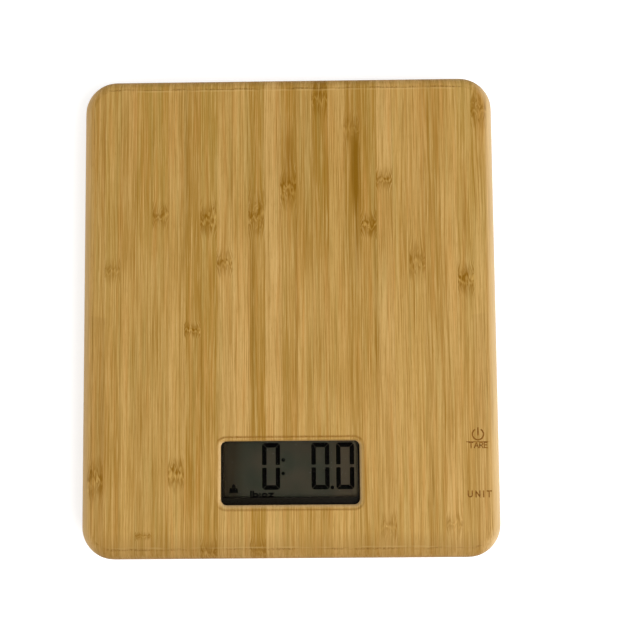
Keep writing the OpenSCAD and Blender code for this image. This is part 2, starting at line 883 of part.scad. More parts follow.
// Door with a round hinge edge, two pins, two ribs, snap bumps and a finger notch
module battery_door() {
    plate_d = door_d - hinge_r;
    color("whitesmoke")
        difference() {
            union() {
                translate([0, coin_y - hinge_r / 2, under_z])
                    difference() {
                        plate(door_w, plate_d, door_r - door_gap, door_t);
                        // The hinge edge stays square where it meets the round bar
                        translate([-door_w, plate_d / 2 - hinge_r, -cut])
                            cube([2 * door_w, 2 * hinge_r, door_t + 2 * cut]);
                    }
                translate([-door_w / 2, hinge_y - hinge_r, under_z])
                    cube([door_w, hinge_r, door_t]);
                translate([0, hinge_y, hinge_z])
                    rotate([0, 90, 0]) {
                        cylinder(r = hinge_r, h = door_w, center = true);
                        cylinder(r = hinge_pin_r, h = door_w + 2 * hinge_pin_l, center = true);
                    }
                for (s = [-1, 1]) {
                    translate([-rib_w / 2, coin_y + s * coin_r / 3 - rib_t / 2, under_z + door_t])
                        cube([rib_w, rib_t, door_rib_h]);
                    translate([s * door_w / 4, coin_y - door_d / 2, under_z + door_t / 2])
                        rotate([0, 90, 0]) cylinder(r = bump_r, h = bump_w, center = true);
                }
            }
            translate([0, coin_y - door_d / 2, under_z - cut])
                cylinder(r = notch_r, h = notch_t + cut);
        }
}

// Coin cell: the positive can below, the smaller negative cap on top
module coin_cell() {
    color("silver")
        translate([0, coin_y, coin_z]) {
            cylinder(r = coin_r, h = coin_t - can_step);
            cylinder(r = coin_r - rim_w, h = coin_t);
        }
}

// Contact tail that runs forward through the tub's wall, at a given height
module tail(x, z) {
    translate([x - tail_w / 2, coin_y - tail_end, z]) cube([tail_w, tail_end, contact_t]);
}

// Curved spring clip beside the can
module battery_positive_contact() {
    clip_from = -75;
    clip_turn = 40;
    clip_r = coin_r + running_fit;
    color("gold") {
        translate([0, coin_y, coin_z + 2 * contact_t])
            rotate([0, 0, clip_from])
                rotate_extrude(angle = clip_turn)
                    translate([clip_r, 0]) square([contact_t, coin_top - coin_z - contact_t]);
        difference() {
            tail(tail_x, coin_top);
            translate([0, coin_y, coin_z]) cylinder(r = clip_r + contact_t / 2, h = 2 * coin_t);
        }
    }
}

// Flat contact under the tub's roof, with a dimple that presses on the cap
module battery_negative_contact() {
    disc_r = tail_x + tail_w / 2 - 1;
    dimple_r = 1.2;
    color("gold") {
        translate([0, coin_y, tub_roof - contact_t]) cylinder(r = disc_r, h = contact_t);
        translate([0, coin_y, coin_top])
            cylinder(r1 = dimple_r, r2 = 2 * dimple_r, h = tub_roof - contact_t - coin_top);
        tail(-tail_x, tub_roof - contact_t);
    }
}

// Lead from a contact's tail down to the underside of the circuit board
module battery_lead(x, z) {
    end_z = pcb_z - lead_r;
    wire(
        rounded_route(
            [
                [x, coin_y - tail_end, z],
                [x, coin_y - tail_end - lead_tail, z],
                [x, lead_drop_y + lead_r, end_z],
                [x, lead_drop_y - lead_end, end_z]
            ],
            lead_bend_r
        ),
        lead_r
    );
}

module positive_lead() {
    color("red") battery_lead(tail_x, coin_top + contact_t / 2);
}

module negative_lead() {
    color("black") battery_lead(-tail_x, tub_roof - contact_t / 2);
}

// ---- Load cells, drawn at the origin with the tongue's root and the wires at +Y ----

module sensor_holder() {
    color("dimgray")
        difference() {
            translate([0, 0, holder_z - holder_skirt])
                plate(holder_w, holder_w, holder_corner_r, roof_z - holder_z + holder_skirt);
            // Seat of the load cell
            translate([0, 0, holder_z - holder_skirt - cut])
                linear_extrude(holder_skirt + cut)
                    square(cell_w + 2 * holder_fit, center = true);
            // Room for the tongue to bend
            translate([0, 0, holder_z - cut])
                linear_extrude(holder_recess + cut) square(cell_open, center = true);
            translate([-wire_slot_w / 2, 0, holder_z - holder_skirt - cut])
                cube([wire_slot_w, holder_w, wire_slot_h + holder_skirt + cut]);
            for (s = [-1, 1])
                translate([s * cell_screw_at, -s * cell_screw_at, holder_z - cut])
                    cylinder(r = cell_screw_r + running_fit, h = holder_h + 2 * cut);
        }
}

module load_cell() {
    color("silver")
        translate([0, 0, cell_z])
            difference() {
                linear_extrude(cell_t)
                    difference() {
                        square(cell_w, center = true);
                        difference() {
                            square(cell_open, center = true);
                            circle(tongue_head_r);
                            translate([-tongue_w / 2, 0]) square([tongue_w, cell_open]);
                        }
                    }
                for (s = [-1, 1])
                    translate([s * cell_screw_at, -s * cell_screw_at, -cut])
                        cylinder(r = cell_screw_r + running_fit, h = cell_t + 2 * cut);
            }
}

// Strain gauge under its drop of white silicone
module strain_gauge() {
    color("white")
        translate([-gauge_w / 2, gauge_y, cell_top]) cube([gauge_w, gauge_d, gauge_h]);
}

module sensor_screws() {
    color("silver")
        at_each_foot()
            for (s = [-1, 1])
                translate([s * cell_screw_at, -s * cell_screw_at, cell_z - cell_head_h])
                    screw(cell_screw_r, cell_screw_l + cell_head_h, cell_head_r, cell_head_h);
}

// Three wires from a gauge on the right-hand side: along the channel, then to the circuit board
module sensor_wires(end) {
    start_y = foot_y - gauge_y - gauge_d;
    end_z = pcb_z - wire_r;
    turn_y = link_y + end * lane_y;
    colours = ["red", "white", "black"];
    for (i = [-1:1])
        color(colours[i + 1])
            wire(
                rounded_route(
                    [
                        [foot_x + i * wire_pitch, end * start_y, wire_z],
                        [foot_x + i * wire_pitch, turn_y - end * i * wire_pitch, wire_z],
                        [wire_drop_x, turn_y - end * i * wire_pitch, wire_z],
                        [wire_flat_x, turn_y - end * i * wire_pitch, end_z],
                        [wire_end_x, turn_y - end * i * wire_pitch, end_z]
                    ],
                    wire_bend_r
                ),
                wire_r
            );
}

module wire_tapes() {
    color("ivory")
        for (side = [-1, 1], y = tape_y)
            translate([side * foot_x - channel_w / 2, y - tape_l / 2, wire_z - wire_r - tape_t])
                cube([channel_w, tape_l, tape_t]);
}

// ---- Feet, drawn at the origin ----

module foot() {
    color("gray")
        difference() {
            union() {
                translate([0, 0, foot_z]) cylinder(r = foot_r, h = foot_lip_z - foot_z + foot_lip_h);
                translate([0, 0, foot_lip_z]) cylinder(r = foot_r + foot_lip, h = foot_lip_h);
                translate([0, 0, foot_lip_z]) cylinder(r = boss_r, h = cell_z - foot_lip_z);
            }
            translate([0, 0, foot_z - cut]) cylinder(r = pad_r, h = pad_sunk + cut);
        }
}

module foot_pad() {
    color("darkgray") cylinder(r = pad_r, h = pad_t);
}

// ---- The object ----

platform_board();
display_lens();
display_gasket();
display_frame();
lcd_front_glass();
lcd_rear_glass();
lcd_reflector();
lcd_contact_strips();
main_circuit_board();
board_components();
circuit_board_screws();
touch_circuit_board();
touch_spring(tare_y);  // tare_touch_spring
touch_spring(unit_y);  // unit_touch_spring
touch_ribbon_cable();
base_cover();
cover_screws();
rating_label();
battery_door();
coin_cell();
battery_positive_contact();
battery_negative_contact();
positive_lead();
negative_lead();
sensor_screws();
wire_tapes();
for (i = [0:3]) {
    side = i % 2 == 0 ? -1 : 1;
    end = i < 2 ? -1 : 1;
    at_foot(side, end) sensor_holder();
    at_foot(side, end) load_cell();
    at_foot(side, end) strain_gauge();
    mirror([side < 0 ? 1 : 0, 0, 0]) sensor_wires(end);
    at_foot(side, end) foot();
    at_foot(side, end) foot_pad();
}
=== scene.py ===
# %% [markdown]
# # A bamboo kitchen scale, dressed step by step
# The scale is a flat board of glued bamboo strips with a small display set into its top. All the parts
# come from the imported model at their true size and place, so this script never moves or resizes them. It
# gives each surface its finish. It also adds what is too thin to be a part of its own: the key marks
# burnt into the board and the figures in the display. The studio around the scale comes last.

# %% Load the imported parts
import math

import bpy
from mathutils import Matrix, Vector


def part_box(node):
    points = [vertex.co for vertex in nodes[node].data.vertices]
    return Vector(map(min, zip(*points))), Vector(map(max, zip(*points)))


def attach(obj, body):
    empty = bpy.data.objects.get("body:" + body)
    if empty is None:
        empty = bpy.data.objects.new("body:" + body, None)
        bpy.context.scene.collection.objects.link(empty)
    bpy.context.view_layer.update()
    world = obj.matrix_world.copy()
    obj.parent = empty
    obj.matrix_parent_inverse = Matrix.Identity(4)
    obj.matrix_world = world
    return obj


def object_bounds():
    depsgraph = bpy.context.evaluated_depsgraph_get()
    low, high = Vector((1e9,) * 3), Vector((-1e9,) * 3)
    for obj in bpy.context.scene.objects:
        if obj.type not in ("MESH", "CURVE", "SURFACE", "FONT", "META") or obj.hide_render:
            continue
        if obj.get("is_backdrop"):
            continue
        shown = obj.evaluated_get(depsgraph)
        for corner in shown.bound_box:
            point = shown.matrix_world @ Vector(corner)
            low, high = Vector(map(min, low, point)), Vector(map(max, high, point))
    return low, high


MM = 0.001
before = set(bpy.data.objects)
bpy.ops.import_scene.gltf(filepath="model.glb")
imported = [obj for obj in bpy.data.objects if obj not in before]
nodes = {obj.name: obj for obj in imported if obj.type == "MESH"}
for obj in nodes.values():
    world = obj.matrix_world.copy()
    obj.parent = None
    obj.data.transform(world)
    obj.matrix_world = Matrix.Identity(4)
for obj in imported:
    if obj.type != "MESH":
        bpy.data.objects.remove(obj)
scene = bpy.context.scene
cad_low, cad_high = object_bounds()
print("parts:", len(nodes), "size in mm:", [round((b - a) / MM, 1) for a, b in zip(cad_low, cad_high)])

# %% [markdown]
# ## Units and the places that other steps need
# The model is in metres, and a scale is easier to read in millimetres, so `MM` turns one into the other.
# Places are taken from the boxes of the real parts. The board's top, its rounded edge and the glass of
# the display are needed again and again, so they are worked out once here. The cutter that rounds the
# edge goes in a little too deep, so its round starts at a small step below the top.

# %% Places
CORNER_R = 13.5
EDGE_R = 4.8
EDGE_STEP = 0.15


def highest(node):
    """The highest corner of a part, in millimetres."""
    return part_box(node)[1] / MM


HALF_W, HALF_D, TOP = highest("platform_board")
STEP_W = HALF_W - EDGE_R
STEP_D = HALF_D - EDGE_R
STEP_R = CORNER_R - EDGE_R
GLASS_TOP = highest("lcd_front_glass").z
print("board top at", round(TOP, 2), "mm; display glass at", round(GLASS_TOP, 2), "mm")

# %% [markdown]
# ## The camera
# A hand held the camera about 37 cm above the scale, a little to the right and tipped slightly forward,
# so the far edge looks a touch narrower than the near one. A track-to constraint would aim it too, but
# it would also choose the roll. Building the matrix from the line of sight and one upward hint keeps both.

# %% Camera
CAMERA_PLACE = Vector((17.1, -29.5, 388.7)) * MM
CAMERA_AIM = Vector((12.8, -2.45, 16.5)) * MM
CAMERA_UP_HINT = Vector((0.0093, 1, 0))
LENS_MM = 50.85
NEAREST_SEEN = 10 * MM

sight = (CAMERA_AIM - CAMERA_PLACE).normalized()
right = sight.cross(CAMERA_UP_HINT).normalized()
up = right.cross(sight)
camera = bpy.data.objects.new("camera", bpy.data.cameras.new("camera"))
camera.matrix_world = Matrix((right, up, -sight)).transposed().to_4x4()
camera.location = CAMERA_PLACE
camera.data.lens = LENS_MM
camera.data.clip_start = NEAREST_SEEN
scene.collection.objects.link(camera)
scene.camera = camera
scene.view_settings.view_transform = "Standard"
print("camera", round((CAMERA_AIM - CAMERA_PLACE).length, 3), "m from the board")

# %% [markdown]
# ## A short way to write materials
# Every finish below is a small tree of nodes on one Principled shader. Wiring each node by hand takes
# five lines, so `Finish` wraps a material and has one short method for each kind of node. A value may be
# a number or another node's output. Surfaces are described in millimetres, because grain and texture are
# thought of in millimetres.

# %% A helper for materials
def linear(red, green, blue):
    """A colour as it is seen on a screen, from 0 to 255, as the linear values that a shader takes."""
    def one(value):
        share = value / 255
        # the curve that every sRGB screen follows
        return share / 12.92 if share <= 0.04045 else ((share + 0.055) / 1.055) ** 2.4
    return (one(red), one(green), one(blue), 1.0)


class Finish:
    """A material and its nodes, with a short call for each kind of node that the scale's finishes use."""

    def __init__(self, name, colour=(128, 128, 128), roughness=0.5, **sockets):
        self.material = bpy.data.materials.new(name)
        self.material.use_nodes = True
        self.nodes = self.material.node_tree.nodes
        self.links = self.material.node_tree.links
        self.shader = self.nodes["Principled BSDF"]
        self.shader.inputs["Base Color"].default_value = linear(*colour)
        self.shader.inputs["Roughness"].default_value = roughness
        for socket, value in sockets.items():
            self.shader.inputs[socket.replace("_", " ")].default_value = value

    def put(self, value, socket):
        """Joins a node's output to a socket, or writes a plain value into it."""
        if isinstance(value, bpy.types.NodeSocket):
            self.links.new(value, socket)
        elif value is not None:
            socket.default_value = value

    def math(self, operation, a, b=None, c=None):
        node = self.nodes.new("ShaderNodeMath")
        node.operation = operation
        for value, socket in zip((a, b, c), node.inputs):
            self.put(value, socket)
        return node.outputs[0]

    def times(self, product, *others):
        """Two or more values, multiplied."""
        for value in others:
            product = self.math("MULTIPLY", product, value)
        return product

    def unsigned(self, value):
        """A value without its sign."""
        return self.math("ABSOLUTE", value)

    def apart(self, a, b):
        """How far two values are apart."""
        return self.unsigned(self.math("SUBTRACT", a, b))

    def vector(self, operation, a, b=None):
        node = self.nodes.new("ShaderNodeVectorMath")
        node.operation = operation
        self.put(a, node.inputs[0])
        self.put(b, node.inputs[1])
        return node.outputs["Value" if operation == "LENGTH" else "Vector"]

    def point(self):
        """The place on the surface, in millimetres from the model's origin."""
        place = self.nodes.new("ShaderNodeTexCoord").outputs["Object"]
        return self.vector("MULTIPLY", place, (1 / MM, 1 / MM, 1 / MM))

    def split(self, vector):
        node = self.nodes.new("ShaderNodeSeparateXYZ")
        self.put(vector, node.inputs[0])
        return node.outputs

    def join(self, x, y, z):
        node = self.nodes.new("ShaderNodeCombineXYZ")
        for value, socket in zip((x, y, z), node.inputs):
            self.put(value, socket)
        return node.outputs[0]

    def noise(self, vector, scale, detail=2.0, roughness=0.5):
        """Smooth noise from 0 to 1; scale is how many lumps fit in one unit of the vector."""
        node = self.nodes.new("ShaderNodeTexNoise")
        self.put(vector, node.inputs["Vector"])
        node.inputs["Scale"].default_value = scale
        node.inputs["Detail"].default_value = detail
        node.inputs["Roughness"].default_value = roughness
        return node.outputs[0]

    def random(self, vector):
        """One random number for each whole place of the vector."""
        node = self.nodes.new("ShaderNodeTexWhiteNoise")
        node.noise_dimensions = "3D"
        self.put(vector, node.inputs["Vector"])
        return node.outputs["Value"]

    def cells(self, vector, scale):
        """The distance to the nearest of a scatter of points."""
        node = self.nodes.new("ShaderNodeTexVoronoi")
        self.put(vector, node.inputs["Vector"])
        node.inputs["Scale"].default_value = scale
        return node.outputs["Distance"]

    def span(self, value, low, high, to_low=0.0, to_high=1.0, soft=False):
        """Turns values from low to high into values from to_low to to_high, and stops at both ends."""
        node = self.nodes.new("ShaderNodeMapRange")
        node.interpolation_type = "SMOOTHSTEP" if soft else "LINEAR"
        for item, socket in zip((value, low, high, to_low, to_high), node.inputs):
            self.put(item, socket)
        return node.outputs[0]

    def mix(self, share, a, b):
        """Mixes two colours; share 0 is a and 1 is b."""
        node = self.nodes.new("ShaderNodeMix")
        node.data_type = "RGBA"
        self.put(share, node.inputs["Factor"])
        first, second = [socket for socket in node.inputs if socket.type == "RGBA"]
        self.put(a, first)
        self.put(b, second)
        return next(socket for socket in node.outputs if socket.type == "RGBA")

    def steps(self, value, colours):
        """A row of equal bands, one for each colour, as value goes from 0 to 1."""
        node = self.nodes.new("ShaderNodeValToRGB")
        ramp = node.color_ramp
        ramp.interpolation = "CONSTANT"
        ramp.elements.remove(ramp.elements[1])
        for index, colour in enumerate(colours):
            stop = ramp.elements[0] if index == 0 else ramp.elements.new(index / len(colours))
            stop.position = index / len(colours)
            stop.color = linear(*colour)
        self.put(value, node.inputs[0])
        return node.outputs[0]

    def relief(self, height, depth_mm):
        """Feeds a height from 0 to 1 to the shader as relief of that depth."""
        node = self.nodes.new("ShaderNodeBump")
        node.inputs["Distance"].default_value = depth_mm * MM
        self.put(height, node.inputs["Height"])
        self.put(node.outputs[0], self.shader.inputs["Normal"])

    def colour(self, value):
        self.put(value, self.shader.inputs["Base Color"])

    def roughness(self, value):
        self.put(value, self.shader.inputs["Roughness"])

    def give(self, *names):
        """Gives this finish to CAD parts, by name."""
        for name in names:
            for slot in nodes[name].material_slots:
                slot.material = self.material
        print(self.material.name, "on", len(names), "parts")


print("mid grey, (128, 128, 128), as a shader takes it:", [round(v, 3) for v in linear(128, 128, 128)])

# %% [markdown]
# ## Bamboo, part one: the strips
# The board is pressed from bamboo laths, each 6.7 mm wide. They lie side by side and run from the near
# edge to the far one. Every lath was cut from another stalk, so each has its own tone, and many drift a
# little in tone along their length. A row of separate boards could show that, but the real one is a
# single milled piece. A ramp with one hard step for each lath gives the same look on the one part. Two
# rows of tone names are written, one for the far end and one for the near end, and the finish fades
# between them. The near row is paler for nearly every lath, and that is partly painted light.

# %% The tones of the wood
TONES = {
    # whole laths
    "pale": (208, 167, 99),
    "honey": (199, 158, 87),
    "tan": (190, 149, 79),
    "olive": (179, 141, 65),
    "brown": (173, 131, 55),
    "umber": (160, 117, 34),
    # what lies in a lath
    "reddish": (202, 146, 74),
    "greenish": (180, 152, 84),
    "dark fibre": (148, 106, 26),
    "pale fibre": (216, 178, 112),
    "stain": (136, 94, 8),
    "knot": (139, 95, 8),
    "knot ridge": (208, 164, 84),
    # glue and cut ends
    "seam": (136, 94, 32),
    "ply glue": (120, 80, 34),
    "cut end": (158, 114, 54),
    "bundle": (112, 70, 26),
    # the rounded edge and the window: a painted highlight, and tones partly painted light and shade
    "dark step line": (126, 88, 30),
    "step highlight": (220, 184, 118),
    "left round light": (244, 204, 146),
    "right round light": (228, 200, 156),
    "end round shade": (136, 98, 44),
    "window rim": (230, 197, 144),
    "far window rim shade": (164, 126, 66),
    "window groove": (138, 94, 26),
}


def wood(name):
    """A tone of the wood, by name, as a shader takes it."""
    return linear(*TONES[name])


print(len(TONES), "tones, from", min(TONES.values()), "to", max(TONES.values()))

# %% The strips
STRIP_W = 20 / 3
# partly painted light: the near row is a step paler than the far row for nearly every lath
FAR_TONES = """tan tan olive tan olive olive honey brown olive honey honey brown pale brown
    tan umber honey umber brown pale honey tan tan honey olive honey pale""".split()
NEAR_TONES = """tan tan tan honey tan tan honey brown brown pale pale brown pale tan
    honey tan honey tan tan pale honey honey tan pale tan pale pale""".split()
FAR_END = 60
NEAR_END = -30
STRIPS_W = STRIP_W * len(FAR_TONES)
print(len(FAR_TONES), "strips across", round(STRIPS_W), "mm")

# %% [markdown]
# ## Bamboo, part two: knots and stains
# A bamboo stalk has a joint every few decimetres. Where a lath crosses one, there is a short, dark,
# blotchy patch with pale ridges across it, as wide as the lath and never wider. Some laths also have
# long stains that follow the fibre. Both are lists of places in millimetres from the middle of the
# board, and each entry adds a soft mask to the finish.

# %% Places of knots and stains
# lath counted from the middle, place along, half length, strength
KNOTS = [
    (-8, 42, 5, 0.8), (-5, 40, 7, 1.0), (-4, 22, 5, 0.8), (-2, 42, 9, 0.9), (0, 53, 8, 1.0),
    (2, 92, 8, 0.8), (4, 78, 8, 0.5), (5, 37, 5, 1.1), (6, 56, 4, 0.8), (8, 22, 8, 0.7),
    (11, 14, 6, 1.0), (12, 86, 7, 0.9), (-6, -6, 3, 0.9), (-11, 19, 5, 0.5), (-7, -65, 6, 0.9),
    (-12, -67, 8, 0.9), (-9, -90, 1.5, 0.7), (6, -87, 6, 0.5), (10, -86, 4, 0.5), (-5, -97, 5, 0.9),
    (-2, -96, 4, 0.8),
]
# place across, place along, half width, half length, strength
STAINS = [
    (28.2, 62, 2.6, 22, 1.7), (28.4, 36, 1.6, 26, 0.7), (-15.2, 4, 2.0, 62, 0.45),
    (-42.2, 62, 1.6, 44, 0.5), (0.4, 68, 3.4, 16, 0.65), (13.3, 94, 3.2, 16, 0.45),
    (35.9, 0, 0.9, 66, 0.45), (37.4, -14, 0.8, 20, 0.4), (3.0, -8, 0.8, 72, 0.35),
    (-36.3, -30, 0.9, 66, 0.4), (-77.2, -56, 1.2, 50, 0.45), (-77.0, 70, 0.8, 34, 0.4),
    (9.8, 20, 0.7, 50, 0.25), (-23.6, 60, 0.7, 30, 0.3), (16.9, 40, 0.6, 60, 0.3),
    (23.6, 56, 0.7, 36, 0.3), (58.2, -70, 0.7, 14, 0.5), (73.6, 40, 1.2, 30, 0.3),
    (-30.6, -82, 1.2, 20, 0.4),
]
print(len(KNOTS), "knots and", len(STAINS), "stains")

# %% [markdown]
# ## Bamboo, part three: the whole finish
# The wood is described in space and not on the surface, so a cut through it shows the right thing: long
# fibres on the top, and the flecked ends of the same fibres on the near and far sides. Noise that is
# stretched along the lath, from 22 times for the hairs to 125 times for the broad bands, makes the
# fibres. Each lath gets its own random shift, so that fibres stop at the glue line. Under the top layer
# the board has two more. The laths of the middle one run crosswise, as in plywood, and in each layer
# they start a little further over, so that no glue line lies on another.

# %% Masks of the knots and stains
KNOT_REACH = 1.6
KNOT_FADE = 1.4
KNOT_SWIRL = 7
KNOT_RIDGES = 9
RIDGE_WARP = 16
SAME = 0.1


def knot_place(f, strip, y):
    """Where a point lies along its own knot, from -1 to 1 inside it, and how strong that knot is."""
    place, strength = 0.0, 0.0
    for number, along, half, force in KNOTS:
        here = f.math("COMPARE", strip, number, SAME)
        local = f.math("MULTIPLY_ADD", y, 1 / half, -along / half)
        inside = f.times(here, f.math("LESS_THAN", f.unsigned(local), KNOT_REACH))
        place = f.math("MULTIPLY_ADD", inside, local, place)
        strength = f.math("MULTIPLY_ADD", inside, force, strength)
    return place, strength


def knot_masks(f, aside, y, lot, place, strength):
    """How dark and how pale a knot makes each point: fibres that swirl round it, and faint ridges."""
    warp = f.noise(f.join(f.times(aside, 0.5), f.times(y, 0.13), lot), 1.1, 1, 0.6)
    warp = f.math("SUBTRACT", warp, 0.5)
    away = f.unsigned(f.math("MULTIPLY_ADD", warp, 1.1, place))
    smudge = f.span(away, 0.1, KNOT_FADE, 1, 0, soft=True)
    swirl = f.times(warp, KNOT_SWIRL, f.span(f.unsigned(place), 0, KNOT_FADE, 1, 0.1))
    swirl = f.math("ADD", aside, swirl)
    streak = f.noise(f.join(swirl, f.times(y, 0.07), lot), 1.3, 2, 0.7)
    ridges = f.math("SINE", f.math("ADD", f.times(place, KNOT_RIDGES), f.times(warp, RIDGE_WARP)))
    ridges = f.times(ridges, f.span(away, 0.1, 0.6, 0.5, 0, soft=True))
    dark = f.math("ADD", f.span(streak, 0.4, 0.6, 0.25, 1.0), f.times(ridges, 0.5))
    dark = f.times(smudge, f.math("MAXIMUM", dark, 0))
    pale = f.math("SUBTRACT", f.span(streak, 0.46, 0.34, 0, 0.6), f.math("MINIMUM", ridges, 0))
    pale = f.times(smudge, smudge, pale)
    return f.times(dark, strength), f.times(pale, f.times(strength, 0.5))


def stain_mask(f, x, y, fibre):
    """How dark the long stains make each point."""
    total = 0.0
    for across, along, half_w, half_l, strength in STAINS:
        side = f.span(f.apart(x, across), 0, half_w, strength, 0, soft=True)
        length = f.span(f.apart(y, along), 0, half_l, 1.3, 0)
        total = f.math("ADD", total, f.times(side, f.math("MINIMUM", length, 1)))
    return f.times(total, fibre)


reach = [KNOT_REACH * knot[2] for knot in KNOTS]
print("knots reach", round(min(reach), 1), "to", round(max(reach), 1), "mm each way along the lath")

# %% Plies and laths
PLY_T = 4.4
PLY_SHIFT = 0.45 * STRIP_W
SEAM_ZONE = (0.465 * STRIP_W, 0.5 * STRIP_W)
TOP_SLACK = 0.001
LONGWAYS = 0.008
HAIR_LONGWAYS = 0.045
LOT_SHIFT = 60


def wood_place(f):
    """The ply of each point, and its place across and along the fibres of that ply."""
    x, y, z = f.split(f.point())
    down = f.math("DIVIDE", f.math("SUBTRACT", TOP - TOP_SLACK, z), PLY_T)
    ply = f.math("MAXIMUM", f.math("FLOOR", down), 0)
    depth = f.math("SUBTRACT", down, ply)
    crosswise = f.math("COMPARE", ply, 1, 0.5)
    across = f.math("MULTIPLY_ADD", crosswise, f.math("SUBTRACT", y, x), x)
    along = f.math("MULTIPLY_ADD", crosswise, f.math("SUBTRACT", x, y), y)
    return x, y, z, ply, depth, crosswise, f.math("MULTIPLY_ADD", ply, PLY_SHIFT, across), along


def board_grain(f, across, along, z, strip, lot, swell):
    """Four noises that follow the fibres of a lath, from broad bands to fine hairs."""
    bend = f.noise(f.join(f.times(strip, 3.7), f.times(along, 0.02), lot), 1.0, 1)
    aside = f.math("MULTIPLY_ADD", bend, 1.4, f.math("ADD", across, swell))
    far = f.math("MULTIPLY_ADD", along, LONGWAYS, f.times(lot, LOT_SHIFT))
    fibre = f.join(aside, far, z)
    broad = f.noise(fibre, 0.4, 1, 0.5)
    bands = f.noise(fibre, 1.25, 2, 0.7)
    fine = f.noise(f.join(aside, f.times(far, 1.5), z), 2.9, 2, 0.7)
    hair = f.noise(f.join(aside, f.times(along, HAIR_LONGWAYS), z), 5.0, 2, 0.6)
    return broad, bands, fine, hair


def lath_tone(f, across, strip, ply, along):
    """The plain tone of each lath, which drifts along its length and is paler at the near end, partly
    painted light.
    """
    near = f.span(along, FAR_END, NEAR_END)
    place = f.math("MULTIPLY_ADD", across, 1 / STRIPS_W, 0.5)
    far_tones = f.steps(place, [TONES[t] for t in FAR_TONES])
    tone = f.mix(near, far_tones, f.steps(place, [TONES[t] for t in NEAR_TONES]))
    drift = f.noise(f.join(f.times(strip, 5.3), f.times(along, 0.014), ply), 1.0, 1)
    tone = f.mix(f.span(drift, 0.5, 0.72, 0, 0.5), tone, wood("umber"))
    return f.mix(f.span(drift, 0.5, 0.3, 0, 0.4), tone, wood("pale"))


print("fibres are", round(1 / HAIR_LONGWAYS), "to", round(1 / LONGWAYS), "times as long as they are wide")

# %% End grain, and painted light and shade at the edges
WINDOW_AT = (0, -65)
WINDOW_W = 57
WINDOW_D = 26
WINDOW_R = 2.4
WINDOW_EDGE = 1.8
WINDOW_DEEP = 3
WINDOW_FAR = WINDOW_AT[1] + WINDOW_D / 2
SIDE_ZONE = (HALF_W - 9, HALF_W - 3)
END_ZONE = (HALF_D - 9, HALF_D - 6)
MIDDLE_ZONE = (HALF_W - 16, HALF_W - 9)
STEP_LINE_AT = 0.3
HIGHLIGHT_AT = -0.45
END_SHADE_FROM = (-7, 1.2)
END_SHADE_STRENGTH = (0.5, 0.3)


def outside(f, x, y, centre, half_w, half_d, radius):
    """How far a point lies outside a rectangle with rounded corners; below 0 is inside it."""
    side = f.math("SUBTRACT", f.apart(x, centre[0]), half_w - radius)
    end = f.math("SUBTRACT", f.apart(y, centre[1]), half_d - radius)
    corner = f.vector("LENGTH", f.join(f.math("MAXIMUM", side, 0), f.math("MAXIMUM", end, 0), 0))
    inner = f.math("MINIMUM", f.math("MAXIMUM", side, end), 0)
    return f.math("SUBTRACT", f.math("ADD", corner, inner), radius)


def end_grain(f, tone, across, along, z, depth, crosswise, lot, seam):
    """Cut ends of the laths: browner, with the dots of the fibre bundles, and glue between plies."""
    normal = f.split(f.nodes.new("ShaderNodeNewGeometry").outputs["Normal"])
    nx, ny = f.unsigned(normal["X"]), f.unsigned(normal["Y"])
    end = f.math("MULTIPLY_ADD", crosswise, f.math("SUBTRACT", nx, ny), ny)
    end = f.span(end, 0.74, 0.98)
    tone = f.mix(f.times(end, 0.5), tone, wood("cut end"))
    flip = f.apart(f.math("GREATER_THAN", lot, 0.5), depth)
    dots = f.cells(f.join(across, f.times(along, 0.1), z), 1.6)
    dots = f.times(f.span(dots, 0.42, 0.2), f.span(flip, 0, 1, 0.85, 0.25))
    tone = f.mix(f.times(dots, end), tone, wood("bundle"))
    upright = f.span(f.math("MAXIMUM", nx, ny), 0.5, 0.9)
    ply_edge = f.math("MINIMUM", depth, f.math("SUBTRACT", 1, depth))
    glue = f.math("MAXIMUM", f.span(ply_edge, 0.02, 0.06, 0.6, 0), f.times(seam, end))
    return f.mix(f.times(glue, upright), tone, wood("ply glue"))


def edge_light_and_lines(f, tone, x, y, edge_noise):
    """Edge tones: a broken dark step line, a painted highlight inside it, side rounds partly painted
    light, end rounds partly painted shade.
    """
    patchy = f.noise(f.join(f.times(x, 0.12), y, 0), 1.0, 1)
    edge = outside(f, x, y, (0, 0), STEP_W, STEP_D, STEP_R)
    ends = f.span(f.unsigned(y), *END_ZONE)
    # a broken dark line just outside the step, at the near and far ends
    dashes = f.times(f.span(edge_noise, 0.58, 0.4, 0, 0.75), f.span(patchy, 0.46, 0.56, 0, 1))
    line = f.times(f.span(f.apart(edge, STEP_LINE_AT), 0.1, 0.7, 1, 0), dashes)
    tone = f.mix(f.times(line, ends), tone, wood("dark step line"))
    # painted highlight: a pale line just inside the step, at the near and far ends
    bright = f.span(f.apart(edge, HIGHLIGHT_AT), 0.1, 0.5, f.span(patchy, 0.4, 0.6, 0.35, 0), 0)
    bright = f.times(bright, f.span(f.unsigned(x), *MIDDLE_ZONE, 1, 0))
    tone = f.mix(f.times(bright, ends), tone, wood("step highlight"))
    # partly painted light: the rounds of the long sides are made paler
    long_side = f.span(f.unsigned(x), *SIDE_ZONE)
    rounded = f.mix(f.math("GREATER_THAN", x, 0), wood("left round light"), wood("right round light"))
    tone = f.mix(f.times(f.span(edge, 0.6, 4.2, 0, 0.75), long_side), tone, rounded)
    # partly painted shade: the ends darken towards the edge, more at the near end, where it starts 7 mm in
    # on the flat top
    start = f.span(y, -1, 1, *END_SHADE_FROM)
    strength = f.span(y, -1, 1, *END_SHADE_STRENGTH)
    end_shade = f.times(f.span(edge, start, 4.7, 0, strength), f.math("SUBTRACT", 1, long_side))
    return f.mix(end_shade, tone, wood("end round shade"))


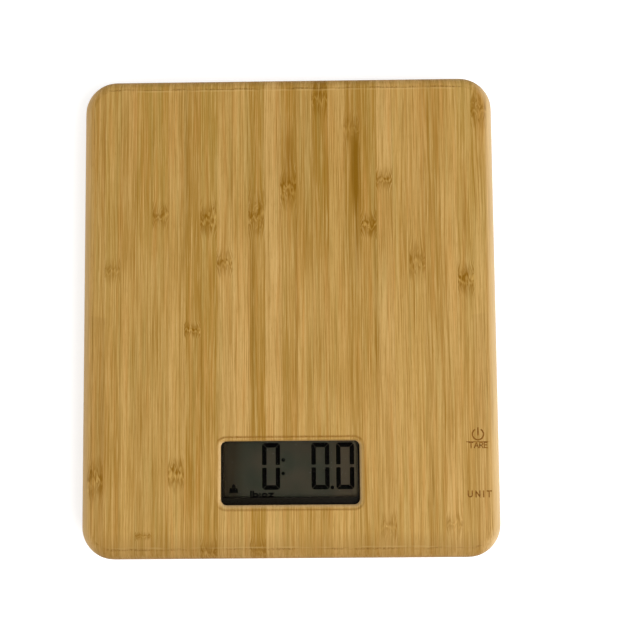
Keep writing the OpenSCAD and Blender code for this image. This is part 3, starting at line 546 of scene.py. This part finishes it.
def window_rim(f, tone, x, y, z, edge_noise):
    """The window's rim: pale, partly newly cut wood and partly painted highlight, its far side painted
    shade, and a dark groove round it.
    """
    rim = outside(f, x, y, WINDOW_AT, WINDOW_W / 2, WINDOW_D / 2, WINDOW_R)
    cut = f.times(f.span(rim, 0.1, 1.1, 1, 0.1), f.span(rim, 1.2, 1.6, 1, 0))
    cut = f.times(cut, f.span(edge_noise, 0.3, 0.7, 0.45, 0.8))
    # painted light and shade: the rim is pale, partly newly cut wood and partly a painted highlight, and
    # its far side is painted shade instead
    far = f.span(y, WINDOW_FAR - 0.5, WINDOW_FAR + 0.3)
    rim_light = f.mix(far, wood("window rim"), wood("far window rim shade"))
    tone = f.mix(f.times(cut, f.math("GREATER_THAN", z, TOP - WINDOW_DEEP)), tone, rim_light)
    from_middle = f.apart(y, WINDOW_AT[1])
    strength = f.times(f.span(from_middle, WINDOW_D / 2, WINDOW_D / 2 + 0.8, 0.2, 1),
                       f.span(edge_noise, 0.7, 0.3, 0.4, 0.9))
    strength = f.times(strength, f.span(y, WINDOW_AT[1] - 1, WINDOW_AT[1] + 1, 0.6, 1))
    groove = f.span(f.apart(rim, WINDOW_EDGE), 0.15, 0.7, strength, 0)
    return f.mix(groove, tone, wood("window groove"))


print("the round is", EDGE_R, "mm wide, and the window is", WINDOW_W, "by", WINDOW_D, "mm")

# %% The bamboo finish
# noise, where the tone starts to show and where it shows most, how much of it then, the tone
GRAIN_TONES = (
    ("tint", 0.52, 0.7, 0.45, "reddish"), ("tint", 0.46, 0.3, 0.45, "greenish"),
    ("broad", 0.5, 0.3, 0.25, "dark fibre"), ("bands", 0.5, 0.3, 0.5, "dark fibre"),
    ("bands", 0.5, 0.72, 0.5, "pale fibre"), ("fine", 0.5, 0.3, 0.7, "dark fibre"),
    ("fine", 0.53, 0.72, 0.75, "pale fibre"), ("hair", 0.45, 0.28, 0.4, "dark fibre"),
)


def make_bamboo():
    f = Finish("bamboo", roughness=0.55, Specular_IOR_Level=0.12)
    x, y, z, ply, depth, crosswise, across, along = wood_place(f)
    strip = f.math("ROUND", f.math("DIVIDE", across, STRIP_W))
    aside = f.math("SUBTRACT", across, f.times(strip, STRIP_W))
    lot = f.random(f.join(strip, ply, 0))
    on_top = f.math("LESS_THAN", ply, 0.5)

    place, strength = knot_place(f, strip, y)
    strength = f.times(strength, on_top)
    near_knot = f.times(f.span(f.unsigned(place), 0, 1.5, 0.5, 0, soft=True), strength)
    swell = f.times(near_knot, aside, -1)
    slant = f.span(f.unsigned(x), *SIDE_ZONE, 0.15, 1)
    slant = f.math("MAXIMUM", slant, f.math("SUBTRACT", 1, on_top))
    height = f.times(f.math("SUBTRACT", z, TOP), slant)
    broad, bands, fine, hair = board_grain(f, across, along, height, strip, lot, swell)
    tint = f.noise(f.join(f.times(across, 0.55), f.times(along, 0.02), lot), 1.0, 2)

    tone = lath_tone(f, across, strip, ply, along)
    grain = {"tint": tint, "broad": broad, "bands": bands, "fine": fine, "hair": hair}
    for noise, shows, full, most, name in GRAIN_TONES:
        tone = f.mix(f.span(grain[noise], shows, full, 0, most), tone, wood(name))

    seam_depth = f.span(lot, 0.2, 1, 0.05, 0.5)
    seam = f.span(f.unsigned(aside), *SEAM_ZONE, 0, seam_depth)
    tone = f.mix(seam, tone, wood("seam"))
    stains = f.times(stain_mask(f, x, y, f.span(fine, 0.3, 0.65, 1.2, 0.6)), on_top)
    tone = f.mix(stains, tone, wood("stain"))
    dark, pale = knot_masks(f, aside, y, lot, place, strength)
    tone = f.mix(dark, tone, wood("knot"))
    tone = f.mix(pale, tone, wood("knot ridge"))
    tone = end_grain(f, tone, across, along, z, depth, crosswise, lot, seam)
    edge_noise = f.noise(f.join(f.times(x, 0.8), f.times(y, 0.5), 0), 1.3, 2, 0.7)
    tone = edge_light_and_lines(f, tone, x, y, edge_noise)
    f.colour(window_rim(f, tone, x, y, z, edge_noise))
    f.roughness(f.span(fine, 0.3, 0.7, 0.6, 0.46))
    f.relief(f.math("ADD", f.times(fine, 0.6), f.times(seam, -0.8)), 0.03)
    return f


bamboo = make_bamboo()
bamboo.give("platform_board")

# %% [markdown]
# ## Thin shapes: strokes and plates
# The key marks and the display figures are flat shapes with crisp outlines. A text object would be
# quick, but its letters follow a font and its outlines can't follow the rounded edge of the board. Here
# every mark is a stroke of a certain width along a short path, and every outline becomes a thin closed
# plate. A stroke is cut into short steps, so that a plate can lie on a curved surface.

# %% Helpers for strokes and plates
STROKE_STEP = 0.4
LANES = 3
BAND_RISE = 0.0015
SHARPEST = 0.5


def arc(middle, radius, start, end, steps):
    """Points on an arc; angles in degrees, counted from +X towards +Y."""
    angles = [math.radians(start + (end - start) * k / steps) for k in range(steps + 1)]
    return [(middle[0] + radius * math.cos(a), middle[1] + radius * math.sin(a)) for a in angles]


def divided(path):
    """The same path with points no further apart than a step."""
    points = [path[0]]
    for a, b in zip(path, path[1:]):
        count = max(1, math.ceil(math.dist(a, b) / STROKE_STEP))
        for k in range(1, count + 1):
            points.append((a[0] + (b[0] - a[0]) * k / count, a[1] + (b[1] - a[1]) * k / count))
    return points


def stroke(path, width):
    """The left and right edge of a band of constant width along a path."""
    points = [Vector(p) for p in divided(path)]
    left, right_side = [], []
    for k, point in enumerate(points):
        before = (point - points[k - 1]).normalized() if k else None
        after = (points[k + 1] - point).normalized() if k + 1 < len(points) else None
        heading = ((before or after) + (after or before)).normalized()
        across = Vector((-heading.y, heading.x))
        spread = width / 2 / max(SHARPEST, heading.dot(before or after))
        end = heading * (width / 2 if before is None or after is None else 0) * (1 if before else -1)
        left.append(point + across * spread + end)
        right_side.append(point - across * spread + end)
    return left, right_side


def band_faces(bands, surface, thickness):
    """Vertices and faces of closed bands whose top lies on a surface; each band is a little higher."""
    vertices, faces = [], []
    row = 2 * (LANES + 1)
    for order, (left, right_side) in enumerate(bands):
        first = len(vertices)
        for a, b in zip(left, right_side):
            for p in (a.lerp(b, lane / LANES) for lane in range(LANES + 1)):
                z = surface(p.x, p.y) + BAND_RISE * order
                vertices += [(p.x * MM, p.y * MM, z * MM), (p.x * MM, p.y * MM, (z - thickness) * MM)]
        last = first + row * (len(left) - 1)
        for start in range(first, last, row):
            for lane in range(LANES):
                top, top_next = start + 2 * lane, start + 2 * lane + 2
                faces.append((top, top_next, top_next + row, top + row))
                faces.append((top + 1, top + row + 1, top_next + row + 1, top_next + 1))
            edge = start + row - 2
            faces.append((start, start + row, start + row + 1, start + 1))
            faces.append((edge, edge + 1, edge + row + 1, edge + row))
        for lane in range(0, 2 * LANES, 2):
            faces.append((first + lane, first + lane + 1, first + lane + 3, first + lane + 2))
            faces.append((last + lane, last + lane + 2, last + lane + 3, last + lane + 1))
    return vertices, faces


def plate_faces(outlines, low, high):
    """Vertices and faces of closed plates between two heights, one for each outline."""
    vertices, faces = [], []
    for outline in outlines:
        first, count = len(vertices), len(outline)
        vertices += [(x * MM, y * MM, high * MM) for x, y in outline]
        vertices += [(x * MM, y * MM, low * MM) for x, y in outline]
        faces.append(tuple(first + k for k in range(count)))
        faces.append(tuple(first + count + k for k in reversed(range(count))))
        for k in range(count):
            n = (k + 1) % count
            faces.append((first + k, first + count + k, first + count + n, first + n))
    return vertices, faces


def make_piece(name, shape, finish, body):
    """A mesh object from vertices and faces that rides on a body and takes its finish from a slot."""
    mesh = bpy.data.meshes.new(name)
    mesh.from_pydata(shape[0], [], shape[1])
    mesh.materials.append(finish.material)
    piece = bpy.data.objects.new(name, mesh)
    scene.collection.objects.link(piece)
    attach(piece, body)
    print(name, "has", len(shape[1]), "faces")


print("a 10 mm stroke is cut into", len(divided([(0, 0), (10, 0)])) - 1, "steps")

# %% [markdown]
# ## The key marks
# The two touch keys are only marks, burnt into the wood with a laser: a power sign above a line with
# TARE below it, and UNIT further down. The letters are written as strokes in a box one unit high, since
# a burning beam draws strokes too. The beam leaves thin brown lines, darker in some places than in
# others. Here they are strips that stand 0.01 to 0.03 mm proud of the wood, because cutting them in would
# mean changing the board.

# %% Letters as strokes
# each is the width of the letter and its strokes
LETTERS = {
    "T": (0.72, [[(0, 1), (0.72, 1)], [(0.36, 1), (0.36, 0)]]),
    "A": (0.78, [[(0, 0), (0.39, 1), (0.78, 0)], [(0.14, 0.34), (0.64, 0.34)]]),
    "R": (0.58, [[(0, 0), (0, 1), (0.32, 1)] + arc((0.32, 0.74), 0.26, 90, -90, 8) + [(0, 0.48)],
                 [(0.3, 0.48), (0.58, 0)]]),
    "E": (0.52, [[(0.52, 1), (0, 1), (0, 0), (0.52, 0)], [(0, 0.52), (0.46, 0.52)]]),
    "U": (0.7, [[(0, 1)] + arc((0.35, 0.35), 0.35, 180, 360, 10) + [(0.7, 1)]]),
    "N": (0.7, [[(0, 0), (0, 1), (0.7, 0), (0.7, 1)]]),
    "I": (0.0, [[(0, 0), (0, 1)]]),
    "l": (0.0, [[(0, 0), (0, 1)]]),
    "b": (0.6, [[(0, 0), (0, 1)], arc((0.3, 0.32), 0.3, 0, 360, 14)]),
    "o": (0.6, [arc((0.3, 0.32), 0.3, 0, 360, 14)]),
    "z": (0.5, [[(0, 0.64), (0.5, 0.64), (0, 0), (0.5, 0)]]),
    ":": (0.0, [[(0, 0.08), (0, 0.14)], [(0, 0.5), (0, 0.56)]]),
}


def word(text, middle, height, gap, width, spread=1.0):
    """The strokes of a word, centred on a point; gap is the space between letters, spread widens them."""
    total = sum(LETTERS[c][0] * height * spread for c in text) + gap * (len(text) - 1)
    x = middle[0] - total / 2
    bands = []
    for c in text:
        advance, paths = LETTERS[c]
        for path in paths:
            places = [(x + px * height * spread, middle[1] + (py - 0.5) * height) for px, py in path]
            bands.append(stroke(places, width))
        x += advance * height * spread + gap
    return bands


print(len(LETTERS), "letters and signs")

# %% The marks burnt into the board
MARK_LIFT = 0.012
MARK_SINK = 0.1
SCORCHED = (110, 66, 6)
SINGED = (148, 100, 28)
KEY_X = 77.1
POWER_AT = (KEY_X - 0.25, -49.85)
POWER_R = 2.25
POWER_GAP = 38
POWER_BAR = (2.5, -0.2)
POWER_STROKE = 0.6
LINE_X = (KEY_X - 5.0, KEY_X + 4.1)
LINE_Y = -52.9
LINE_STROKE = 0.34
TARE_AT = (KEY_X - 0.3, -54.25)
TARE_SIZES = {"height": 2.1, "gap": 0.6, "width": 0.42}
UNIT_AT = (KEY_X, -73.95)
UNIT_SIZES = {"height": 2.3, "gap": 1.5, "width": 0.5}


def board_surface(x, y):
    """The height of the marks at a place, on the board's flat top and on its rounded edge."""
    side = abs(x) - (STEP_W - STEP_R)
    end = abs(y) - (STEP_D - STEP_R)
    out = math.hypot(max(side, 0), max(end, 0)) + min(max(side, end), 0) - STEP_R
    if out <= 0:
        return TOP + MARK_LIFT
    return TOP + MARK_LIFT - EDGE_STEP - EDGE_R + math.sqrt(EDGE_R ** 2 - min(out, EDGE_R) ** 2)


burnt = Finish("burnt_wood", (124, 84, 36), 0.7, Specular_IOR_Level=0.2)
place = burnt.point()
scorch = burnt.noise(place, 1.6, 3, 0.7)
burnt.colour(burnt.mix(burnt.span(scorch, 0.35, 0.65), linear(*SCORCHED), linear(*SINGED)))
burnt.relief(burnt.noise(place, 6.0, 2), 0.02)

marks = [stroke(arc(POWER_AT, POWER_R, 90 + POWER_GAP, 450 - POWER_GAP, 30), POWER_STROKE)]
marks += [stroke([(POWER_AT[0], POWER_AT[1] + up_by) for up_by in POWER_BAR], POWER_STROKE)]
marks += [stroke([(x, LINE_Y) for x in LINE_X], LINE_STROKE)]
marks += word("TARE", TARE_AT, **TARE_SIZES)
marks += word("UNIT", UNIT_AT, **UNIT_SIZES)
make_piece("key_marks", band_faces(marks, board_surface, MARK_SINK), burnt, "scale_body")

# %% [markdown]
# ## The display
# Behind the window lie a clear lens, a black frame that masks the glass, and the liquid crystal glass.
# The glass is dark olive with near black figures. The dark olive is partly painted shade, for how little
# daylight gets through the lens and down into the deep window. The lens is real glass to the eye, but it
# casts no shadow, so that the lamps reach what is behind it. Its index is 1.25, and that of real acrylic
# is
# 1.49: the lower index keeps the sky's reflection faint. The figures are of the seven-segment kind. Six of
# the seven bars are dark for a nought, and the seventh, across the middle, can't be seen while it is off.

# %% Finishes of the display
def make_display_glass():
    """Dark olive glass, partly painted shade: a blurred brown painted shadow at its left end, painted
    light in two paler steps at its right end.
    """
    f = Finish("display_glass", (68, 66, 54), 0.2, Specular_IOR_Level=0.2)
    place = f.point()
    axes = f.split(place)
    x, y = axes["X"], axes["Y"]
    # partly painted shade: the glass's dark olive
    base = f.mix(f.span(f.noise(place, 0.07, 2), 0.35, 0.65), linear(52, 53, 43), linear(62, 57, 46))
    drape = f.noise(f.join(x, f.times(y, 0.12), 0), 0.35, 2)
    # painted shadow: the left end is darker, browner and blurred, where the window's left wall shades the
    # glass
    left_shadow = f.span(x, -18, -25, 0, f.span(drape, 0.3, 0.6, 0.65, 1.0), soft=True)
    base = f.mix(left_shadow, base, linear(48, 40, 28))
    # painted light: the glass is made paler towards its right end, in two steps, against the shade of the
    # window's right wall
    base = f.mix(f.span(x, 14, 22, 0, 0.8, soft=True), base, linear(72, 62, 48))
    base = f.mix(f.span(x, 25, 27, 0, 0.8, soft=True), base, linear(104, 92, 72))
    weave = f.noise(place, 5.0, 2)
    f.colour(f.mix(f.span(weave, 0.3, 0.7, 0, 0.1), base, linear(40, 38, 30)))
    f.roughness(f.span(weave, 0.3, 0.7, 0.16, 0.24))
    return f


def make_plastic(name, colour, grain=3.0, depth=0.012, roughness=0.5):
    """Moulded plastic with a fine spark texture and slightly uneven gloss."""
    f = Finish(name, colour, roughness, Specular_IOR_Level=0.45)
    place = f.point()
    spark = f.noise(place, grain, 3, 0.6)
    flow = f.noise(place, 0.05, 2)
    shade = [0.86 * c for c in colour]
    f.colour(f.mix(f.span(flow, 0.3, 0.7, 0, 0.35), linear(*colour), linear(*shade)))
    f.roughness(f.span(spark, 0.3, 0.7, roughness + 0.08, roughness - 0.06))
    f.relief(spark, depth)
    return f


LENS_INDEX = 1.25
lens = Finish("clear_lens", (236, 238, 236), 0.03, Transmission_Weight=1.0, IOR=LENS_INDEX)
smear = lens.noise(lens.point(), 0.15, 2)
lens.roughness(lens.span(smear, 0.4, 0.7, 0.01, 0.03))
lens.give("display_lens")
nodes["display_lens"].visible_shadow = False

display_glass = make_display_glass()
display_glass.give("lcd_front_glass")
make_plastic("frame_black", (28, 22, 10), 3.0, 0.01, 0.3).give("display_frame")

# %% The figures on the glass
FIGURE_X = (-11.75, 8.65, 18.87)
FIGURE_TOP = -53.0
FIGURE_LOW = -72.15
FIGURE_W = 7.45
BAR = 1.85
NICK = 0.06
CORNER_LONG = 1.3
CORNER_MID = (0.12, 0.85)
CORNER_CUT = 0.38
WAIST_GAP = 0.52
WAIST_TIP = 0.6
WAIST_RISE = (0.2, 0.15)
INK_LOW = 0.005
INK_HIGH = 0.03
INK_TONES = ((4, 4, 3), (9, 7, 6))


def nought(left):
    """The outlines of the six dark bars of a nought whose left edge is at a place."""
    right_edge = left + FIGURE_W
    middle = (FIGURE_TOP + FIGURE_LOW) / 2

    def upright(outer, inward):
        """The upper bar of one side; the lower one is its mirror image."""
        corner = [(0, -CORNER_LONG), (CORNER_MID[0], -CORNER_MID[1])]
        corner += [(CORNER_CUT - NICK, -CORNER_CUT - NICK), (BAR - NICK, -BAR - NICK)]
        bar = [(outer + inward * px, FIGURE_TOP + py) for px, py in corner]
        bar += [(outer + inward * BAR, FIGURE_TOP - BAR - 2 * NICK)]
        bar += [(outer + inward * BAR, middle + WAIST_GAP + WAIST_RISE[0])]
        bar += [(outer + inward * BAR * WAIST_TIP, middle + WAIST_GAP)]
        return bar + [(outer, middle + WAIST_GAP + WAIST_RISE[1])]

    def mirrored(outline):
        return [(px, 2 * middle - py) for px, py in outline]

    half_lid = [(BAR + NICK, -BAR), (CORNER_CUT + NICK, -CORNER_CUT + NICK)]
    half_lid += [(CORNER_MID[1], -CORNER_MID[0]), (CORNER_LONG, 0)]
    lid = [(left + px, FIGURE_TOP + py) for px, py in half_lid]
    lid += [(right_edge - px, FIGURE_TOP + py) for px, py in reversed(half_lid)]
    right_bar, left_bar = upright(right_edge, -1), upright(left, 1)
    return [lid, right_bar, mirrored(right_bar), mirrored(lid), mirrored(left_bar), left_bar]


def facing_up(outline):
    """The outline, turned if needed, so that it runs anticlockwise as seen from above."""
    area = sum(a[0] * b[1] - b[0] * a[1] for a, b in zip(outline, outline[1:] + outline[:1]))
    return outline if area > 0 else outline[::-1]


# across, along, radius
DOTS = ((-3.0, -60.0, 0.75), (-3.05, -65.5, 0.7), (17.25, -71.4, 0.75))
WEIGHT_FOOT = [(-25.4, -73.4), (-21.7, -73.4), (-22.0, -71.3), (-25.1, -71.3)]
WEIGHT_KNOB = [(-24.4, -71.2), (-22.7, -71.2), (-22.9, -70.4),
               (-23.3, -69.8), (-23.8, -69.8), (-24.2, -70.4)]
UNIT_SIGN_AT = (-11.9, -73.95)
UNIT_SIGN_SIZES = {"height": 2.2, "gap": 0.95, "width": 0.7, "spread": 1.4}

ink = Finish("display_ink", (6, 5, 4), 0.25, Specular_IOR_Level=0.05)
ink_grain = ink.noise(ink.point(), 1.2, 2)
ink.colour(ink.mix(ink.span(ink_grain, 0.3, 0.7), linear(*INK_TONES[0]), linear(*INK_TONES[1])))

outlines = [bar for x in FIGURE_X for bar in nought(x)]
outlines += [arc((x, y), radius, 0, 345, 23) for x, y, radius in DOTS]
outlines += [WEIGHT_FOOT, WEIGHT_KNOB]
figures = plate_faces([facing_up(o) for o in outlines], GLASS_TOP + INK_LOW, GLASS_TOP + INK_HIGH)
make_piece("display_figures", figures, ink, "scale_body")
unit_sign = word("lb:oz", UNIT_SIGN_AT, **UNIT_SIGN_SIZES)
unit_sign = band_faces(unit_sign, lambda x, y: GLASS_TOP + INK_HIGH, INK_HIGH - INK_LOW)
make_piece("display_units", unit_sign, ink, "scale_body")

# %% [markdown]
# ## The other parts
# Most of what is left is inside or underneath. There is one function for each kind of finish, since
# several parts share it: plated and brushed metal, moulded plastic, rubber and foam, circuit board, and
# paper tape.

# %% Metals
def make_metal(name, colour, roughness=0.3, brush=(1, 1, 1), scale=2.0):
    """Bare or plated metal; brush stretches the fine scratches along an axis."""
    f = Finish(name, colour, roughness, Metallic=1.0)
    lines = f.noise(f.vector("MULTIPLY", f.point(), brush), scale, 4, 0.7)
    patch = f.noise(f.point(), 0.12, 2)
    dull = [0.8 * c for c in colour]
    f.colour(f.mix(f.span(patch, 0.3, 0.7, 0, 0.5), linear(*colour), linear(*dull)))
    f.roughness(f.span(lines, 0.3, 0.7, roughness - 0.08, roughness + 0.15))
    f.relief(lines, 0.004)
    return f


zinc = make_metal("zinc_steel", (196, 198, 196), 0.32, (1, 1, 1), 3.0)
zinc.give("cover_screws", "sensor_screws", "circuit_board_screws")
sensor_steel = make_metal("sensor_steel", (188, 188, 184), 0.34, (0.1, 1, 1), 5.0)
make_metal("coin_steel", (205, 205, 203), 0.25, (1, 0.05, 1), 6.0).give("coin_cell")
nickel = make_metal("nickel_strip", (206, 202, 190), 0.22, (1, 0.2, 1), 4.0)
nickel.give("battery_positive_contact", "battery_negative_contact")
make_metal("spring_gold", (222, 186, 104), 0.25).give("tare_touch_spring", "unit_touch_spring")
make_metal("reflector_film", (205, 206, 202), 0.4, (0.2, 1, 1), 4.0).give("lcd_reflector")


# %% Plastics, rubbers and films
def make_rubber(name, colour, roughness=0.75, depth=0.01):
    """Rubber or foam: dull, with a pale bloom on its skin."""
    f = Finish(name, colour, roughness, Specular_IOR_Level=0.3)
    place = f.point()
    pores = f.noise(place, 4.0, 3, 0.7)
    bloom = [min(255, 1.25 * c + 10) for c in colour]
    f.colour(f.mix(f.span(f.noise(place, 0.25, 3), 0.4, 0.75, 0, 0.5), linear(*colour), linear(*bloom)))
    f.roughness(f.span(pores, 0.3, 0.7, roughness - 0.06, min(1, roughness + 0.1)))
    f.relief(pores, depth)
    return f


make_plastic("white_shell", (232, 231, 226), 4.0, 0.02, 0.48).give("base_cover", "battery_door")
grey_foot = make_plastic("grey_foot", (206, 206, 202), 4.0, 0.012, 0.45)
holder_grey = make_plastic("holder_grey", (70, 70, 70), 3.0, 0.01, 0.5)
make_plastic("label_film", (214, 215, 214), 1.0, 0.003, 0.35).give("rating_label")
make_plastic("lower_glass", (110, 112, 98), 2.0, 0.002, 0.2).give("lcd_rear_glass")
make_plastic("ribbon", (168, 168, 166), 2.0, 0.006, 0.4).give("touch_ribbon_cable")
make_rubber("foam", (46, 46, 46), 0.9, 0.06).give("display_gasket")
foot_rubber = make_rubber("foot_rubber", (58, 58, 58), 0.8)
make_rubber("contact_rubber", (214, 150, 160), 0.6).give("lcd_contact_strips")
silicone = make_rubber("silicone", (236, 236, 230), 0.3)
make_plastic("red_wire", (190, 34, 28), 1.0, 0.003, 0.35).give("positive_lead")
make_plastic("black_wire", (34, 34, 34), 1.0, 0.003, 0.35).give("negative_lead")
wire_white = make_plastic("sensor_wire", (224, 220, 206), 1.0, 0.003, 0.4)


# %% Circuit boards, chips and tape
def make_board():
    """Green solder mask with copper tracks under it."""
    f = Finish("green_board", (20, 96, 52), 0.35)
    axes = f.split(f.point())
    x, y = axes["X"], axes["Y"]
    track = f.noise(f.join(f.math("SNAP", x, 1.2), f.math("SNAP", y, 1.2), 0), 0.6, 0)
    lane = f.math("PINGPONG", f.math("ADD", x, y), 0.6)
    copper = f.times(f.span(track, 0.5, 0.52), f.span(lane, 0.3, 0.36))
    f.colour(f.mix(copper, linear(16, 84, 46), linear(48, 128, 66)))
    f.relief(copper, 0.03)
    return f


make_board().give("main_circuit_board", "touch_circuit_board")
make_plastic("chips", (42, 42, 44), 3.0, 0.006, 0.4).give("board_components")


def make_tape():
    """Creped paper tape: fine ridges across its length and a warm, uneven tone."""
    f = Finish("paper_tape", (218, 202, 158), 0.8)
    crepe = f.noise(f.vector("MULTIPLY", f.point(), (1, 0.25, 1)), 2.4, 3, 0.7)
    f.colour(f.mix(f.span(crepe, 0.3, 0.7), linear(200, 182, 136), linear(228, 214, 174)))
    f.relief(crepe, 0.05)
    return f


make_tape().give("wire_tapes")

# %% The four sensors and feet
for corner in ("front_left", "front_right", "rear_left", "rear_right"):
    sensor_steel.give("load_cell_" + corner)
    holder_grey.give("sensor_holder_" + corner)
    silicone.give("strain_gauge_" + corner)
    wire_white.give("sensor_wires_" + corner)
    grey_foot.give("foot_" + corner)
    foot_rubber.give("foot_pad_" + corner)

# %% [markdown]
# ## The studio
# The scale lies on a white sweep in soft light that comes mostly from the right and the front. A lamp
# close by would leave a hard shadow, so the sky gives much of the light, and two broad softboxes the
# rest. The sky is dark straight overhead, and that is what the display mirrors. The floor is white to the
# camera, and it glows more the farther it is from the scale, so it ends up white and still keeps a soft
# shadow. To light that bounces off it, it is a mid grey, so that the board's sides aren't lit too much
# from below. Its lower side lets the eye through, so that the underside of the scale can be looked at.

# %% Sky
BRIGHT_SIDE = Vector((0.9, -0.3, 0)).normalized()
SIDE_LIGHT = (0.5, 1.05)
CANOPY_HEIGHT = (0.6, 0.95)
CANOPY_LIGHT = (1.0, 0.02)
MIRRORED_LIGHT = 0.7

world = bpy.data.worlds.new("sky")
scene.world = world
world.use_nodes = True


def sky(kind, *values, **settings):
    """The outputs of a new node of the sky; its values are numbers or other nodes' outputs."""
    node = world.node_tree.nodes.new("ShaderNode" + kind)
    for setting, choice in settings.items():
        setattr(node, setting, choice)
    for value, socket in zip(values, node.inputs):
        if isinstance(value, bpy.types.NodeSocket):
            world.node_tree.links.new(value, socket)
        else:
            socket.default_value = value
    return node.outputs


direction = sky("TexCoord")["Generated"]
towards = sky("VectorMath", direction, BRIGHT_SIDE, operation="DOT_PRODUCT")["Value"]
side_light = sky("MapRange", towards, -1, 1, *SIDE_LIGHT)[0]
height = sky("SeparateXYZ", direction)["Z"]
canopy = sky("MapRange", height, *CANOPY_HEIGHT, *CANOPY_LIGHT, interpolation_type="SMOOTHSTEP")[0]
ray = sky("LightPath")
mirrored = sky("Math", ray["Is Glossy Ray"], ray["Is Transmission Ray"], operation="MAXIMUM")[0]
mirrored = sky("Math", mirrored, MIRRORED_LIGHT, operation="MULTIPLY")[0]
light = sky("Math", side_light, mirrored, operation="MAXIMUM")[0]
light = sky("Math", light, canopy, operation="MULTIPLY")[0]
light = sky("Math", light, ray["Is Camera Ray"], operation="MAXIMUM")[0]
background = world.node_tree.nodes["Background"]
background.inputs["Color"].default_value = (1, 1, 1, 1)
world.node_tree.links.new(light, background.inputs["Strength"])
print("the sky gives", SIDE_LIGHT[0], "on its dim side and", SIDE_LIGHT[1], "on its bright side")


# %% Softboxes
def softbox(name, place, size, watts):
    """A square lamp at a place, in metres, turned towards the scale."""
    data = bpy.data.lights.new(name, "AREA")
    data.size = size
    data.energy = watts
    lamp = bpy.data.objects.new(name, data)
    lamp.location = place
    lamp.rotation_euler = (-Vector(place)).to_track_quat("-Z", "Y").to_euler()
    scene.collection.objects.link(lamp)
    print(name, "at", [round(v, 2) for v in place], "gives", watts, "W")


softbox("main_softbox", place=(0.6, -0.4, 0.85), size=0.7, watts=7.4)
softbox("fill_softbox", place=(-0.7, 0.5, 1.2), size=0.9, watts=3)

# %% Floor
FLOOR_HALF = 4.0
FLOOR_DROP = 0.00005
FLOOR_WHITE = (240, 240, 240)
BOUNCE_GREY = (110, 108, 104)
GLOW_REACH = (300, 1500)
GLOW_SEEN = (0.2, 1.0)
GLOW_ALWAYS = 0.3


def make_floor_finish():
    f = Finish("floor_white", FLOOR_WHITE, 0.9, Specular_IOR_Level=0.0)
    ray = f.nodes.new("ShaderNodeLightPath").outputs
    seen = f.math("MAXIMUM", ray["Is Camera Ray"], ray["Is Glossy Ray"])
    seen = f.math("MAXIMUM", seen, ray["Is Transmission Ray"])
    f.shader.inputs["Emission Color"].default_value = (1, 1, 1, 1)
    away = f.vector("LENGTH", f.point())
    glow = f.math("MULTIPLY_ADD", seen, f.span(away, *GLOW_REACH, *GLOW_SEEN), GLOW_ALWAYS)
    f.put(glow, f.shader.inputs["Emission Strength"])
    f.colour(f.mix(seen, linear(*BOUNCE_GREY), linear(*FLOOR_WHITE)))
    choice = f.nodes.new("ShaderNodeMixShader")
    f.put(f.nodes.new("ShaderNodeNewGeometry").outputs["Backfacing"], choice.inputs[0])
    f.links.new(f.shader.outputs[0], choice.inputs[1])
    f.links.new(f.nodes.new("ShaderNodeBsdfTransparent").outputs[0], choice.inputs[2])
    f.links.new(choice.outputs[0], f.nodes["Material Output"].inputs["Surface"])
    return f


corners = [(x * FLOOR_HALF, y * FLOOR_HALF, -FLOOR_DROP) for x, y in ((-1, -1), (1, -1), (1, 1), (-1, 1))]
floor_mesh = bpy.data.meshes.new("floor")
floor_mesh.from_pydata(corners, [], [(0, 1, 2, 3)])
floor_mesh.materials.append(make_floor_finish().material)
floor = bpy.data.objects.new("floor", floor_mesh)
scene.collection.objects.link(floor)
floor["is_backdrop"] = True
print("floor", 2 * FLOOR_HALF, "m wide")

# %% [markdown]
# ## The size, and the end
# The last line prints how much the dressed model's box has grown past the imported one's, in millimetres
# along each axis.

# %% Size and finish
low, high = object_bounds()
boxes = zip(low, high, cad_low, cad_high)
print("grown by, in mm:", [round((b - a - d + c) / MM, 3) for a, b, c, d in boxes])
